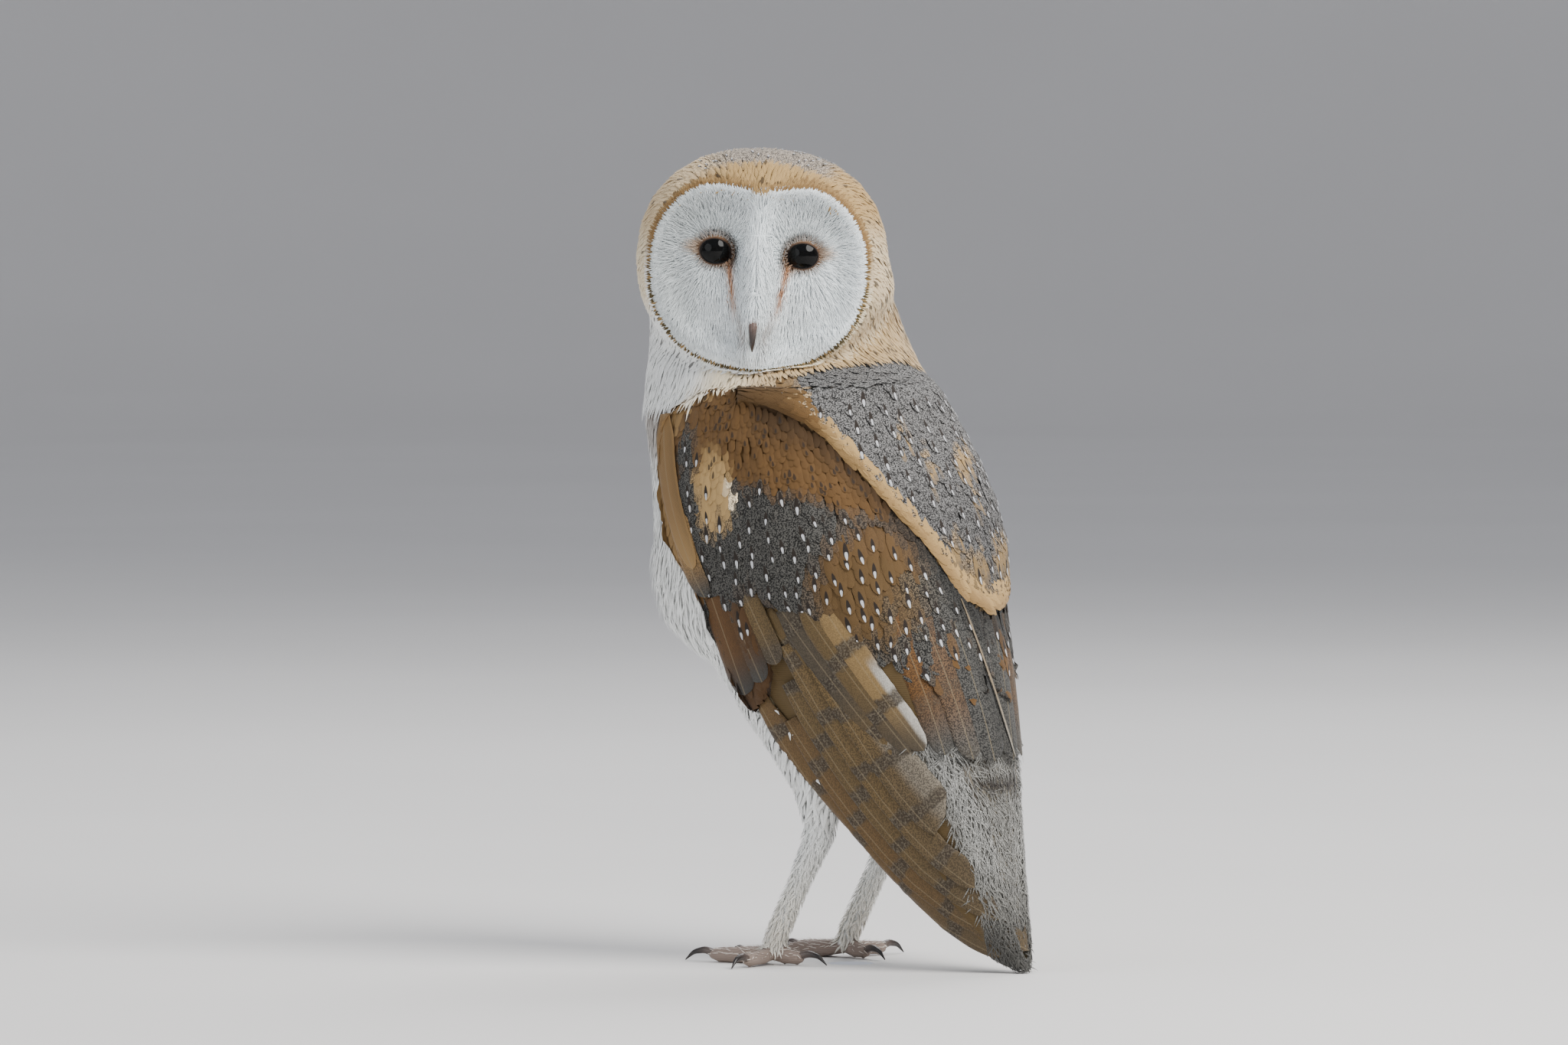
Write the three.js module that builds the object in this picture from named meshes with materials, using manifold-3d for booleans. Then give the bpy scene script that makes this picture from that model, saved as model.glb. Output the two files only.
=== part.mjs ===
// A barn owl, life size, standing on a level floor with its head turned over its left shoulder.
// Millimetres, +Z up. The trunk faces -Y and the bird's left side is +X.
import * as THREE from 'three';
import { mergeVertices } from 'three/addons/utils/BufferGeometryUtils.js';
import Module from 'manifold-3d';

const wasm = await Module();
wasm.setup();

// ---------------------------------------------------------------- driving dimensions
const GAP = 0.3; // clear space left between two pieces that meet
const SMOOTHING = 0.06; // facets flatter than this are merged
const ROUNDNESS = 2.4; // power of the superellipses that the body's level sections follow
const NECK_CUT = 250; // height of the thin cut between trunk and neck

const WING_VIEW = THREE.MathUtils.degToRad(128); // the folded wing is laid out as seen from here
const RIGHTWARD = new THREE.Vector3(Math.cos(WING_VIEW), Math.sin(WING_VIEW), 0);
const OUTWARD = new THREE.Vector3(Math.sin(WING_VIEW), -Math.cos(WING_VIEW), 0);

// Level sections of the trunk: height, half width, front, widest line, back.
const TRUNK = [
  [72, 3, 46, 54, 61], [78, 10, 38, 52, 62], [95, 24, 5, 30, 59], [110, 36, -25, 8, 56],
  [124, 45, -54, -10, 53], [136, 51, -79, -20, 50], [148, 56, -95, -25, 46],
  [162, 60, -99, -26, 42.5], [180, 62, -100.5, -24, 39], [202, 61, -101.5, -25, 33],
  [218, 59, -103.5, -31, 27], [235, 55.5, -108, -39, 18], [252, 50.5, -107.5, -45, 12.5],
];

// Level sections of the neck, which follows the turned head: height, then its extent across
// the wing view (left, right) and along it (near, far).
const NECK = [
  [257, -97, 21, 13, -84], [264, -96.5, 18.5, 1, -82], [274, -96, 14, -8, -76],
  [286, -98, 7, -12, -68],
];

// Level sections of the surface that the folded wings and the back lie on.
const MANTLE = [
  [0, 7, 70, 79, 86], [9, 12, 56, 68, 85.5], [18, 17, 42, 54, 84], [33, 24, 26, 38, 81],
  [48, 30, 12, 25, 78], [63, 35, -1, 12, 76], [83, 42, -18, -5, 73], [97, 47, -30, -14, 70.5],
  [112, 52, -42, -21, 67.5], [129, 58, -60, -26, 63], [145, 63, -84, -27, 58],
  [160, 66.5, -94, -25, 53], [178, 68.5, -98, -23, 47.5], [189, 69, -99, -23, 44],
  [202, 68.5, -100, -26, 38.5], [215, 67, -102, -30, 32], [228, 64, -104, -36, 25],
  [242, 59, -105, -42, 18], [252, 54, -105.5, -45, 14.5], [262, 46, -105, -48, 8],
];

// The wing's leading edge, and the inner edge on the back: place across the wing view, height;
// distance from the midline, height.
const LEADING_EDGE = [
  [66, -1], [62, 1], [43, 8], [26, 17], [9, 30], [-4, 43], [-16, 57], [-28, 73], [-38, 88],
  [-46, 100], [-54, 114], [-63, 129], [-75, 160], [-87, 178], [-91.6, 204], [-92, 222],
  [-89, 236], [-81, 246], [-62, 253],
];
const INNER_EDGE = [
  [1, -1], [4.5, 18], [8, 35], [12, 60], [16, 78], [18.5, 90], [8.5, 92], [7, 101],
  [4.5, 112], [1, 128], [0.15, 140], [0.15, 256],
];

// Lower edge of the wing coverts in the wing view, from the wrist to the back.
const COVERT_EDGE = [
  [-64, 104], [-53, 109], [-47.5, 115], [-44, 128], [-50, 146], [-57, 161], [-37, 158],
  [-15, 154], [3, 143], [14, 137], [25, 133], [36, 128], [46, 121], [62, 108],
];

// Lower edge of the cape of mantle and scapular feathers: turn about the body from the back
// (left side positive, degrees), height.
const CAPE_EDGE = [
  [-124, 249], [-110, 240], [-92, 216], [-72, 190], [-52, 170], [-38, 163], [-18, 156],
  [-4, 156], [3, 164], [9, 178], [16.5, 191], [24.5, 203], [34, 219], [44, 231], [54, 238.5],
  [67, 243], [80, 245],
];
const CAPE_TOP = { right: 254.5, left: 251 }; // it sinks under the turned face
const CAPE_LIFT = 3.5;

const PRIMARY_PITCH = 7.2; // width of a primary where it shows
// Primaries, outermost first: height of the tip on the leading edge, depth under the surface.
const PRIMARIES = [[4, 3.0], [-2, 2.4], [6, 1.8], [14, 1.2], [36, 0.6]];
const INNER_VANE_DEPTH = 1.5; // of the sheet that the inner vanes of the primaries form
const PRIMARY_SINK = 3.2; // how much deeper the primaries lie where other feathers cover them
// Secondaries and tertials: root, tip (across, height), width, depth below the wing surface.
const SECONDARIES = [
  [-46, 163, -16, 118, 15, 1.7], [-34, 161, -7, 108, 15, 1.3], [-20, 158, 3, 99, 15, 0.9],
  [-5, 151, 21, 95, 17, 0.5], [14, 141, 34, 95, 15, 0.1], [33, 132, 48, 93, 16, -0.3],
];

const HEAD_CENTRE = new THREE.Vector3(5.4, -55, 303);
const FACE_TURN = THREE.MathUtils.degToRad(124.6); // about Z, from straight ahead
const FACE_PITCH = THREE.MathUtils.degToRad(4); // bill down
const FACE_ROLL = THREE.MathUtils.degToRad(3.2);
const DISC_FORWARD = 46; // from the head's centre to the plane of the facial disc's rim
const DISC = { half: 46, up: 40, down: 41.5 };
// Rings of the head behind the rim: depth, half width, up, down.
const HEAD_RINGS = [
  [0, 46, 40, 41.5], [-8, 51, 45.5, 45], [-25, 54.5, 49.5, 46.5], [-48, 53, 49, 45.5],
  [-68, 46, 42, 40], [-82, 34, 32, 30], [-90, 18, 18, 17],
];
const HEAD_BACK = -93;
const EYE = { side: 19, up: 7, depth: -14.5, radius: 8.5 };

const LEG_SIDE = 26;
const ANKLE = new THREE.Vector3(LEG_SIDE, -34, 9);
// Toes: name, direction from straight ahead (outward positive), length, radius, claw length.
const TOES = [
  ['middle', 8, 31, 3.9, 14], ['inner', -24, 27, 3.8, 14.5],
  ['outer', 98, 24, 3.6, 12.5], ['hind', 192, 15, 3.5, 12.5],
];

const COLOURS = {
  white_plumage: [0xf1efe9, 0.9], golden_plumage: [0xc79a58, 0.85], grey_plumage: [0x8f8c88, 0.9],
  flight_plumage: [0xa08656, 0.75], eye: [0x0b0908, 0.05], horn: [0x4a403c, 0.45],
  toe_skin: [0xa08c80, 0.7],
};

// ---------------------------------------------------------------- solids from sampled shapes
function signedVolume(points, triangles) {
  let sum = 0;
  for (let i = 0; i < triangles.length; i += 3) {
    const [a, b, c] = [0, 1, 2].map((k) =>
      new THREE.Vector3().fromArray(points, 3 * triangles[i + k]));
    sum += a.dot(b.cross(c));
  }
  return sum / 6;
}

function solidOf(geometry) {
  const bare = new THREE.BufferGeometry();
  bare.setAttribute('position', geometry.getAttribute('position'));
  bare.setIndex(geometry.index);
  const welded = mergeVertices(bare, 1e-4);
  const points = Float32Array.from(welded.getAttribute('position').array);
  const triangles = [];
  for (let i = 0; i < welded.index.count; i += 3) {
    const [a, b, c] = [0, 1, 2].map((k) => welded.index.getX(i + k));
    if (a !== b && b !== c && c !== a) triangles.push(a, b, c);
  }
  if (signedVolume(points, triangles) < 0) triangles.reverse();
  return new wasm.Manifold(new wasm.Mesh({
    numProp: 3, vertProperties: points, triVerts: Uint32Array.from(triangles),
  }));
}

function geometryFrom(points, triangles) {
  const geometry = new THREE.BufferGeometry();
  const flat = points.flatMap((point) => point.toArray());
  geometry.setAttribute('position', new THREE.Float32BufferAttribute(flat, 3));
  geometry.setIndex(triangles);
  return geometry;
}

// Closes rings of equal length into one body, each end drawn in to the middle of its ring.
function loft(rings, firstPole, lastPole) {
  const count = rings[0].length;
  const points = rings.flat();
  const middle = (ring) =>
    ring.reduce((sum, point) => sum.add(point), new THREE.Vector3()).divideScalar(count);
  points.push(firstPole ?? middle(rings[0]), lastPole ?? middle(rings.at(-1)));
  const triangles = [];
  for (let row = 0; row < rings.length - 1; row += 1) {
    for (let i = 0; i < count; i += 1) {
      const a = row * count + i;
      const b = row * count + ((i + 1) % count);
      triangles.push(a, b, b + count, a, b + count, a + count);
    }
  }
  const last = (rings.length - 1) * count;
  for (let i = 0; i < count; i += 1) {
    const next = (i + 1) % count;
    triangles.push(points.length - 2, next, i, points.length - 1, last + i, last + next);
  }
  return solidOf(geometryFrom(points, triangles));
}

// A slab between two sheets of sampled points; outer(row, column) and inner(row, column).
function slab(rows, columns, outer, inner) {
  const points = [];
  const triangles = [];
  const at = (side, row, column) => (side * rows + row) * columns + column;
  for (const sheet of [outer, inner]) {
    for (let row = 0; row < rows; row += 1) {
      for (let column = 0; column < columns; column += 1) points.push(sheet(row, column));
    }
  }
  const quad = (a, b, c, d) => triangles.push(a, b, c, a, c, d);
  for (let row = 0; row < rows - 1; row += 1) {
    for (let column = 0; column < columns - 1; column += 1) {
      quad(at(0, row, column), at(0, row, column + 1),
        at(0, row + 1, column + 1), at(0, row + 1, column));
      quad(at(1, row, column), at(1, row + 1, column),
        at(1, row + 1, column + 1), at(1, row, column + 1));
    }
    quad(at(0, row + 1, 0), at(1, row + 1, 0), at(1, row, 0), at(0, row, 0));
    const end = columns - 1;
    quad(at(0, row, end), at(1, row, end), at(1, row + 1, end), at(0, row + 1, end));
  }
  for (let column = 0; column < columns - 1; column += 1) {
    quad(at(0, 0, column), at(1, 0, column), at(1, 0, column + 1), at(0, 0, column + 1));
    const end = rows - 1;
    quad(at(0, end, column + 1), at(1, end, column + 1), at(1, end, column), at(0, end, column));
  }
  return solidOf(geometryFrom(points, triangles));
}

const joined = (solids) => solids.reduce((whole, solid) => whole.add(solid));
const without = (solid, ...cutters) => cutters.reduce((rest, cutter) => rest.subtract(cutter), solid);

// Keeps the largest body, where a cut has left slivers.
function largest(solid) {
  const bodies = solid.decompose();
  return bodies.reduce((best, body) => (body.volume() > best.volume() ? body : best));
}

// Smooth curve through a table: the row of values at one key.
function smooth(table, keyAt, key) {
  const keys = table.map((row) => row[keyAt]);
  const values = table.flatMap((row) => row.filter((value, i) => i !== keyAt));
  const curve = new THREE.CubicInterpolant(keys, values, table[0].length - 1);
  return Array.from(curve.evaluate(THREE.MathUtils.clamp(key, keys[0], keys.at(-1))));
}
const ramp = THREE.MathUtils.smoothstep;

// ---------------------------------------------------------------- body sections
const signedPower = (value) => Math.sign(value) * Math.abs(value) ** (2 / ROUNDNESS);

// Point of a table's section at a height; turn 0 is the back's midline, 90 degrees the left.
function sectionPoint(table, turn, height, depth) {
  const [half, front, widest, back] = smooth(table, 0, height);
  const forward = Math.cos(turn) > 0 ? back - depth - widest : widest - front - depth;
  const x = (half - depth) * signedPower(Math.sin(turn));
  return new THREE.Vector3(x, widest + forward * signedPower(Math.cos(turn)), height);
}

const BODY_SEGMENTS = 22;
const bodyTurns = Array.from({ length: BODY_SEGMENTS }, (unused, i) =>
  (2 * Math.PI * i) / BODY_SEGMENTS);

const trunkRing = (height, grow) =>
  bodyTurns.map((turn) => sectionPoint(TRUNK, turn, height, -grow));

function trunkLoft(grow) {
  const rings = TRUNK.map(([height]) => trunkRing(height, grow));
  return loft(rings).trimByPlane([0, 0, -1], -(NECK_CUT - GAP / 2 + grow));
}

function neckLoft(grow) {
  const rings = NECK.map(([height, left, right, near, far]) => bodyTurns.map((turn) => {
    const angle = turn + WING_VIEW - Math.PI / 2;
    const across = (left + right) / 2 + ((right - left) / 2 + grow) * Math.cos(angle);
    const along = (near + far) / 2 + ((near - far) / 2 + grow) * Math.sin(angle);
    return new THREE.Vector3(0, 0, height)
      .addScaledVector(RIGHTWARD, across).addScaledVector(OUTWARD, along);
  }));
  const foot = trunkRing(NECK_CUT + GAP / 2, grow);
  const under = foot.map((point) => point.clone().setZ(point.z - grow));
  return loft([under, foot, ...rings]);
}

// Turn about the body of the wing-view place at a height, on the side that the view shows.
function turnAt(across, height) {
  let low = THREE.MathUtils.degToRad(-40);
  let high = THREE.MathUtils.degToRad(150);
  const place = (turn) => sectionPoint(MANTLE, turn, height, 0).dot(RIGHTWARD);
  while (place(high) > place(high - 0.03) && high > low) high -= 0.03; // outline on the far side
  while (place(low) < place(low + 0.03) && low < high) low += 0.03;
  for (let i = 0; i < 24; i += 1) {
    const middle = (low + high) / 2;
    if (place(middle) > across) low = middle;
    else high = middle;
  }
  return (low + high) / 2;
}

const onWing = (across, height, depth) =>
  sectionPoint(MANTLE, turnAt(across, height), height, depth);

// ---------------------------------------------------------------- wings
const leadingTurn = (height) => turnAt(smooth(LEADING_EDGE, 1, height)[0], height);
function innerTurn(height) {
  const [away] = smooth(INNER_EDGE, 1, height);
  const [half] = smooth(MANTLE, 0, height);
  return Math.asin(THREE.MathUtils.clamp(away / half, 0, 1) ** (ROUNDNESS / 2));
}

// The part of the left wing above or below its covert edge, as a prism along the wing view.
function covertPrism(grow) {
  const outline = COVERT_EDGE.map(([across, height]) =>
    new THREE.Vector2(across + grow, height - grow));
  outline.push(new THREE.Vector2(90, 280), new THREE.Vector2(-140, 280));
  outline.push(new THREE.Vector2(-140, 104));
  const prism = new THREE.ExtrudeGeometry(new THREE.Shape(outline), {
    depth: 400, bevelEnabled: false,
  });
  prism.translate(0, 0, -200);
  prism.applyMatrix4(new THREE.Matrix4().makeBasis(
    RIGHTWARD, new THREE.Vector3(0, 0, 1), OUTWARD));
  const index = Array.from({ length: prism.getAttribute('position').count }, (unused, i) => i);
  prism.setIndex(index);
  return solidOf(prism);
}

// A shell under the wing surface from the leading edge to the inner edge, thin at its borders.
function wingShell(heights, columns, thicknessAt, grow) {
  const point = (row, column, depth) => {
    const end = row === 0 ? -grow : grow;
    const height = heights[row] + (row % (heights.length - 1) === 0 ? end : 0);
    const [half] = smooth(MANTLE, 0, height);
    const margin = (1.2 * grow) / half;
    const across = column / (columns - 1);
    const turn = THREE.MathUtils.lerp(
      leadingTurn(height) + margin, innerTurn(height) - margin, across);
    const round = 1 - Math.abs(2 * across - 1) ** 6;
    return sectionPoint(MANTLE, turn, height, depth(height, round));
  };
  return slab(heights.length, columns,
    (row, column) => point(row, column, () => -grow),
    (row, column) => point(row, column, (height, round) =>
      grow + 1 + (thicknessAt(height) - 1) * round));
}

function coverts(grow) {
  const heights = [102, 120, 140, 160, 182, 206, 228, 241, 249.5];
  const thickness = (height) => 5 + 8 * ramp(height, 110, 160);
  return wingShell(heights, 9, thickness, grow).intersect(covertPrism(grow));
}

// A slab under the wing surface through rows of turn, height and depth.
function grownSlab(rows, thickness, grow) {
  const last = rows.length - 1;
  const end = rows[0].length - 1;
  const point = (row, column, below, towardEdge) => {
    const { turn, height, depth } = rows[row][column];
    const [half] = smooth(MANTLE, 0, height);
    const aside = (towardEdge * 1.2 * grow) / half;
    const rise = row === 0 ? -grow : row === last ? grow : 0;
    return sectionPoint(MANTLE, turn + aside, height + rise, depth + below);
  };
  return slab(rows.length, end + 1,
    (row, column) => point(row, column, -grow, column === end ? -1 : 1),
    (row, column) => point(row, column, thickness + grow, column === 0 ? 1 : -1));
}

// A strip laid on the wing surface between two edges in the wing view.
function strip(edges, depth, grow) {
  const thickness = 1.7;
  const point = (row, column, below) => {
    const place = edges[row][column];
    return onWing(place.x, place.y, below);
  };
  return slab(edges.length, 2,
    (row, column) => point(row, column, depth - grow),
    (row, column) => point(row, column, depth + thickness + grow));
}

// Share of a feather's full width along it: whole up to the shoulder, then round to the end.
function roundedTip(along, shoulder, end) {
  const past = Math.max(0, along - shoulder) / (1 - shoulder);
  return end + (1 - end) * Math.sqrt(Math.max(0, 1 - past ** 2));
}

// Place in the wing view, an inset in from the leading edge at a height.
function fromLeadingEdge(height, inset) {
  const at = (key) => new THREE.Vector2(smooth(LEADING_EDGE, 1, key)[0], key);
  const inward = at(height + 1).sub(at(height - 1)).normalize();
  return at(height).add(new THREE.Vector2(inward.y, -inward.x).multiplyScalar(inset));
}

function secondary([rootAcross, rootHeight, tipAcross, tipHeight, width, depth], grow) {
  const root = new THREE.Vector2(rootAcross, rootHeight);
  const tip = new THREE.Vector2(tipAcross, tipHeight);
  const run = tip.clone().sub(root);
  const aside = new THREE.Vector2(-run.y, run.x).normalize();
  const edges = [0, 0.6, 0.9, 1].map((along) => {
    const middle = root.clone().addScaledVector(run, along);
    const half = (width / 2) * roundedTip(along, 0.65, 0.25) + grow;
    return [middle.clone().addScaledVector(aside, -half), middle.addScaledVector(aside, half)];
  });
  return strip(edges, depth, grow);
}

// The primaries lie side by side as steps of one sheet, from the leading edge to the inner
// edge; each narrows to nothing at its own tip.
function primaries(grow) {
  const thickness = 1.9;
  const heights = [0.5, 8, 22, 42, 66, 88, 93, 122, 164];
  const rows = heights.map((height) => {
    const sink = PRIMARY_SINK * ramp(height, 96, 126);
    const row = [];
    let inset = 0;
    for (const [tip, depth] of PRIMARIES) {
      const share = (164 - height) / (164 - tip);
      const width = share > 1 ? 0 : PRIMARY_PITCH * roundedTip(share, 0.7, 0);
      for (const edge of [inset, inset + width]) {
        const place = fromLeadingEdge(height, edge + 0.05 * row.length);
        row.push({ turn: turnAt(place.x, place.y), height: place.y, depth: depth + sink });
      }
      inset += width;
    }
    const outer = row.at(-1).turn;
    for (const share of [0.02, 0.5, 1]) {
      const turn = THREE.MathUtils.lerp(outer, innerTurn(height), share);
      row.push({ turn, height: THREE.MathUtils.lerp(row.at(-1).height, height, share),
        depth: INNER_VANE_DEPTH + PRIMARY_SINK * ramp(height, 90, 92) });
    }
    return row;
  });
  return grownSlab(rows, thickness, grow);
}

const secondaries = (grow) => joined(SECONDARIES.map((row) => secondary(row, grow)));

// ---------------------------------------------------------------- cape and tail
function cape() {
  const rows = 6;
  const columns = 31;
  const [first, last] = [CAPE_EDGE[0][0], CAPE_EDGE.at(-1)[0]];
  const point = (row, column, lift) => {
    const turn = THREE.MathUtils.lerp(first, last, column / (columns - 1));
    const up = row / (rows - 1);
    const top = THREE.MathUtils.lerp(CAPE_TOP.right, CAPE_TOP.left, ramp(turn, -20, 30));
    const height = THREE.MathUtils.lerp(smooth(CAPE_EDGE, 0, turn)[0], top, up);
    return sectionPoint(MANTLE, THREE.MathUtils.degToRad(turn), height, -lift(up));
  };
  const thickness = (up) => 2 + (CAPE_LIFT - 2) * ramp(up, 0, 0.2) - ramp(up, 0.75, 1);
  return slab(rows, columns,
    (row, column) => point(row, column, thickness),
    (row, column) => point(row, column, () => 4 * GAP));
}

function tail() {
  const heights = [112, 88, 64, 42, 24, 13];
  const halfWidths = [17, 22, 23, 19.5, 15, 10];
  const columns = 5;
  const point = (row, column, depth) => {
    const [half] = smooth(MANTLE, 0, heights[row]);
    const side = (2 * column) / (columns - 1) - 1;
    const away = Math.min(0.93, (halfWidths[row] / half)) * side;
    const turn = Math.sign(away) * Math.asin(Math.abs(away) ** (ROUNDNESS / 2));
    return sectionPoint(MANTLE, turn, heights[row], depth);
  };
  return slab(heights.length, columns,
    (row, column) => point(row, column, 4),
    (row, column) => point(row, column, 6.5));
}

// ---------------------------------------------------------------- head
function headFrame() {
  const forward = new THREE.Vector3(
    Math.sin(FACE_TURN) * Math.cos(FACE_PITCH),
    -Math.cos(FACE_TURN) * Math.cos(FACE_PITCH), -Math.sin(FACE_PITCH));
  const level = new THREE.Vector3(0, 0, 1).cross(forward).normalize();
  const upright = forward.clone().cross(level);
  const side = level.clone().multiplyScalar(Math.cos(FACE_ROLL))
    .addScaledVector(upright, -Math.sin(FACE_ROLL));
  const up = upright.clone().multiplyScalar(Math.cos(FACE_ROLL))
    .addScaledVector(level, Math.sin(FACE_ROLL));
  const centre = HEAD_CENTRE.clone().addScaledVector(forward, DISC_FORWARD);
  return new THREE.Matrix4().makeBasis(side, up, forward).setPosition(centre);
}
const HEAD = headFrame();
const HEAD_SEGMENTS = 24;
const headTurns = Array.from({ length: HEAD_SEGMENTS }, (unused, i) =>
  (2 * Math.PI * i) / HEAD_SEGMENTS);

const ringPoint = (turn, half, up, down) => new THREE.Vector2(
  half * Math.sign(Math.cos(turn)) * Math.abs(Math.cos(turn)) ** (2 / 2.3),
  (Math.sin(turn) > 0 ? up : down) * Math.sign(Math.sin(turn))
    * Math.abs(Math.sin(turn)) ** (2 / 2.3));

// The disc's outline is a broad heart: a notch above, round below.
function discPoint(turn, share) {
  const place = ringPoint(turn, DISC.half, DISC.up, DISC.down);
  const fromTop = (turn - Math.PI / 2) / THREE.MathUtils.degToRad(14);
  place.y -= 6 * Math.exp(-(fromTop ** 2) / 2);
  return place.multiplyScalar(share);
}

const bell = (value, width) => Math.exp(-((value / width) ** 2));

// The face is bowed: its sides and ends lie behind its middle.
const bow = (side, up) => -9 * (side / DISC.half) ** 2 - 3 * (up / DISC.up) ** 2;

// Height of the face over the plane of the rim.
function faceHeight(side, up, share) {
  const bowl = -6 * (1 - ramp(share, 0.72, 1));
  const low = ramp(up, -40, -20);
  const brow = 1 - 0.85 * ramp(up, -8, 38);
  const ridge = 13 * bell(side, 9) * (0.35 + 0.65 * low) * brow;
  const beard = 3 * bell(share - 0.85, 0.12) * ramp(-up, 18, 28);
  const sockets = -2 * (bell(Math.hypot(side - EYE.side, up - EYE.up), 10)
    + bell(Math.hypot(side + EYE.side, up - EYE.up), 10));
  return bow(side, up) + bowl + ridge + beard + sockets;
}

function headSolid(grow) {
  const shares = [0.2, 0.4, 0.58, 0.74, 0.88];
  const face = shares.map((share) => headTurns.map((turn) => {
    const place = discPoint(turn, share);
    return new THREE.Vector3(place.x, place.y, faceHeight(place.x, place.y, share) + grow);
  }));
  const back = HEAD_RINGS.map(([depth, half, up, down], row) => headTurns.map((turn) => {
    const wide = ringPoint(turn, half + grow, up + grow, down + grow);
    const place = row === 0 ? discPoint(turn, 1 + grow / DISC.half) : wide;
    const edge = row === 0 ? faceHeight(place.x, place.y, 1) + grow
      : depth + bow(place.x, place.y) * ramp(depth, -60, 0) - grow;
    return new THREE.Vector3(place.x, place.y, edge);
  }));
  const solid = loft([...face, ...back],
    new THREE.Vector3(0, 0, faceHeight(0, 0, 0) + grow), new THREE.Vector3(0, 0, HEAD_BACK - grow));
  return solid.transform(HEAD.elements);
}

// A thick plate with the disc's outline, which parts the face from the head.
function discPlate(grow) {
  const ring = (depth) => headTurns.map((turn) => {
    const place = discPoint(turn, 0.965 + grow / DISC.half);
    return new THREE.Vector3(place.x, place.y, depth);
  });
  return loft([ring(-30 - grow), ring(40)]).transform(HEAD.elements);
}

// The front of an eyeball, flat behind where the head hides it.
function eye(side, grow) {
  const ball = new THREE.SphereGeometry(EYE.radius + grow, 12, 8);
  ball.rotateX(Math.PI / 2);
  ball.translate(side * EYE.side, EYE.up, EYE.depth);
  const front = solidOf(ball).trimByPlane([0, 0, 1], EYE.depth - 0.5 - grow);
  return front.transform(HEAD.elements);
}

// A round tapering body through stations of centre and radius.
function taper(stations, segments) {
  const centres = stations.map((station) => new THREE.Vector3(...station));
  const rings = stations.map((station, i) => {
    const before = centres[Math.max(0, i - 1)];
    const after = centres[Math.min(centres.length - 1, i + 1)];
    const along = after.clone().sub(before).normalize();
    const aside = new THREE.Vector3(1, 0, 0).cross(along).normalize();
    const over = along.clone().cross(aside);
    return Array.from({ length: segments }, (unused, k) => {
      const turn = (2 * Math.PI * k) / segments;
      return centres[i].clone().addScaledVector(aside, station[3] * Math.cos(turn))
        .addScaledVector(over, station[3] * Math.sin(turn));
    });
  });
  return loft(rings);
}

const billUpper = (grow) => taper([
  [0, -9, 0, 3.2 + grow], [0, -15, 5, 3.7 + grow], [0, -21, 8.2, 3.4 + grow],
  [0, -27, 9, 2.6 + grow], [0, -31, 8, 1.5 + grow], [0, -33.5, 6.2, 0.4 + grow],
], 10).transform(HEAD.elements);

const billLower = (grow) => taper([
  [0, -14, -1, 2.6 + grow], [0, -21, 3, 2.2 + grow], [0, -27, 5, 1.5 + grow],
  [0, -29.5, 5.4, 0.6 + grow],
], 8).transform(HEAD.elements);

// ---------------------------------------------------------------- legs and feet
const thigh = (grow) => taper([
  [29, -46, 140, 16 + grow], [29, -28, 120, 18.5 + grow], [28.5, -14, 98, 15.5 + grow],
  [27.5, -7, 78, 10.5 + grow], [27, -6, 63, 7.5 + grow],
], 10);

const tarsus = (grow) => taper([
  [27, -5, 65, 5 + grow], [27, -7, 58, 6.3 + grow], [26.5, -19, 36, 4.6 + grow],
  [26, -32, 12, 4.8 + grow], [26, -35, 5, 3.8 + grow],
], 10);

// Point at a distance from the ankle along a toe's direction, at a height.
function footPoint(direction, distance, height) {
  const turn = THREE.MathUtils.degToRad(direction);
  return [ANKLE.x + distance * Math.sin(turn), ANKLE.y - distance * Math.cos(turn), height];
}

function toe([, direction, length, radius], grow) {
  const at = (share, height, size) =>
    [...footPoint(direction, length * share, height), radius * size + grow];
  const body = taper([
    at(0.05, 4.8, 0.85), at(0.35, 3.8, 1), at(0.85, 3.3, 0.92), at(1, 3.5, 0.5),
  ], 8);
  return body.trimByPlane([0, 0, 1], 0);
}

function claw([, direction, length, radius, clawLength]) {
  const at = (share, height, size) =>
    [...footPoint(direction, length - 1.5 + clawLength * share, height), size];
  return taper([
    at(0, 4.1, 1.6), at(0.3, 5.2, 1.7), at(0.7, 4.2, 1.1), at(1, 0.35, 0.2),
  ], 6).trimByPlane([0, 0, 1], 0);
}

// ---------------------------------------------------------------- parting into nodes
const owl = new THREE.Group();
owl.name = 'barn_owl';
const nodes = [];

function addNode(name, solid, slot) {
  const mesh = largest(solid.simplify(SMOOTHING)).getMesh();
  const geometry = new THREE.BufferGeometry();
  geometry.setAttribute('position', new THREE.BufferAttribute(mesh.vertProperties, 3));
  geometry.setIndex(new THREE.BufferAttribute(mesh.triVerts, 1));
  geometry.computeVertexNormals();
  const [color, roughness] = COLOURS[slot];
  const node = new THREE.Mesh(geometry,
    new THREE.MeshStandardMaterial({ color, roughness, metalness: 0 }));
  node.name = name;
  nodes.push(node);
  owl.add(node);
}

const mirrored = (solid) => solid.mirror([1, 0, 0]);
// A left piece and its mirror image, each cleared of what isn't alike on both sides.
function addPair(name, solid, slot, ...cutters) {
  addNode(`${name}_left`, without(solid, ...cutters), slot);
  addNode(`${name}_right`, without(mirrored(solid), ...cutters), slot);
}

const wholeHead = headSolid(0);
const headCut = headSolid(GAP);
const faceCuts = joined([eye(1, GAP), eye(-1, GAP), billUpper(GAP), billLower(GAP)]);

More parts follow.
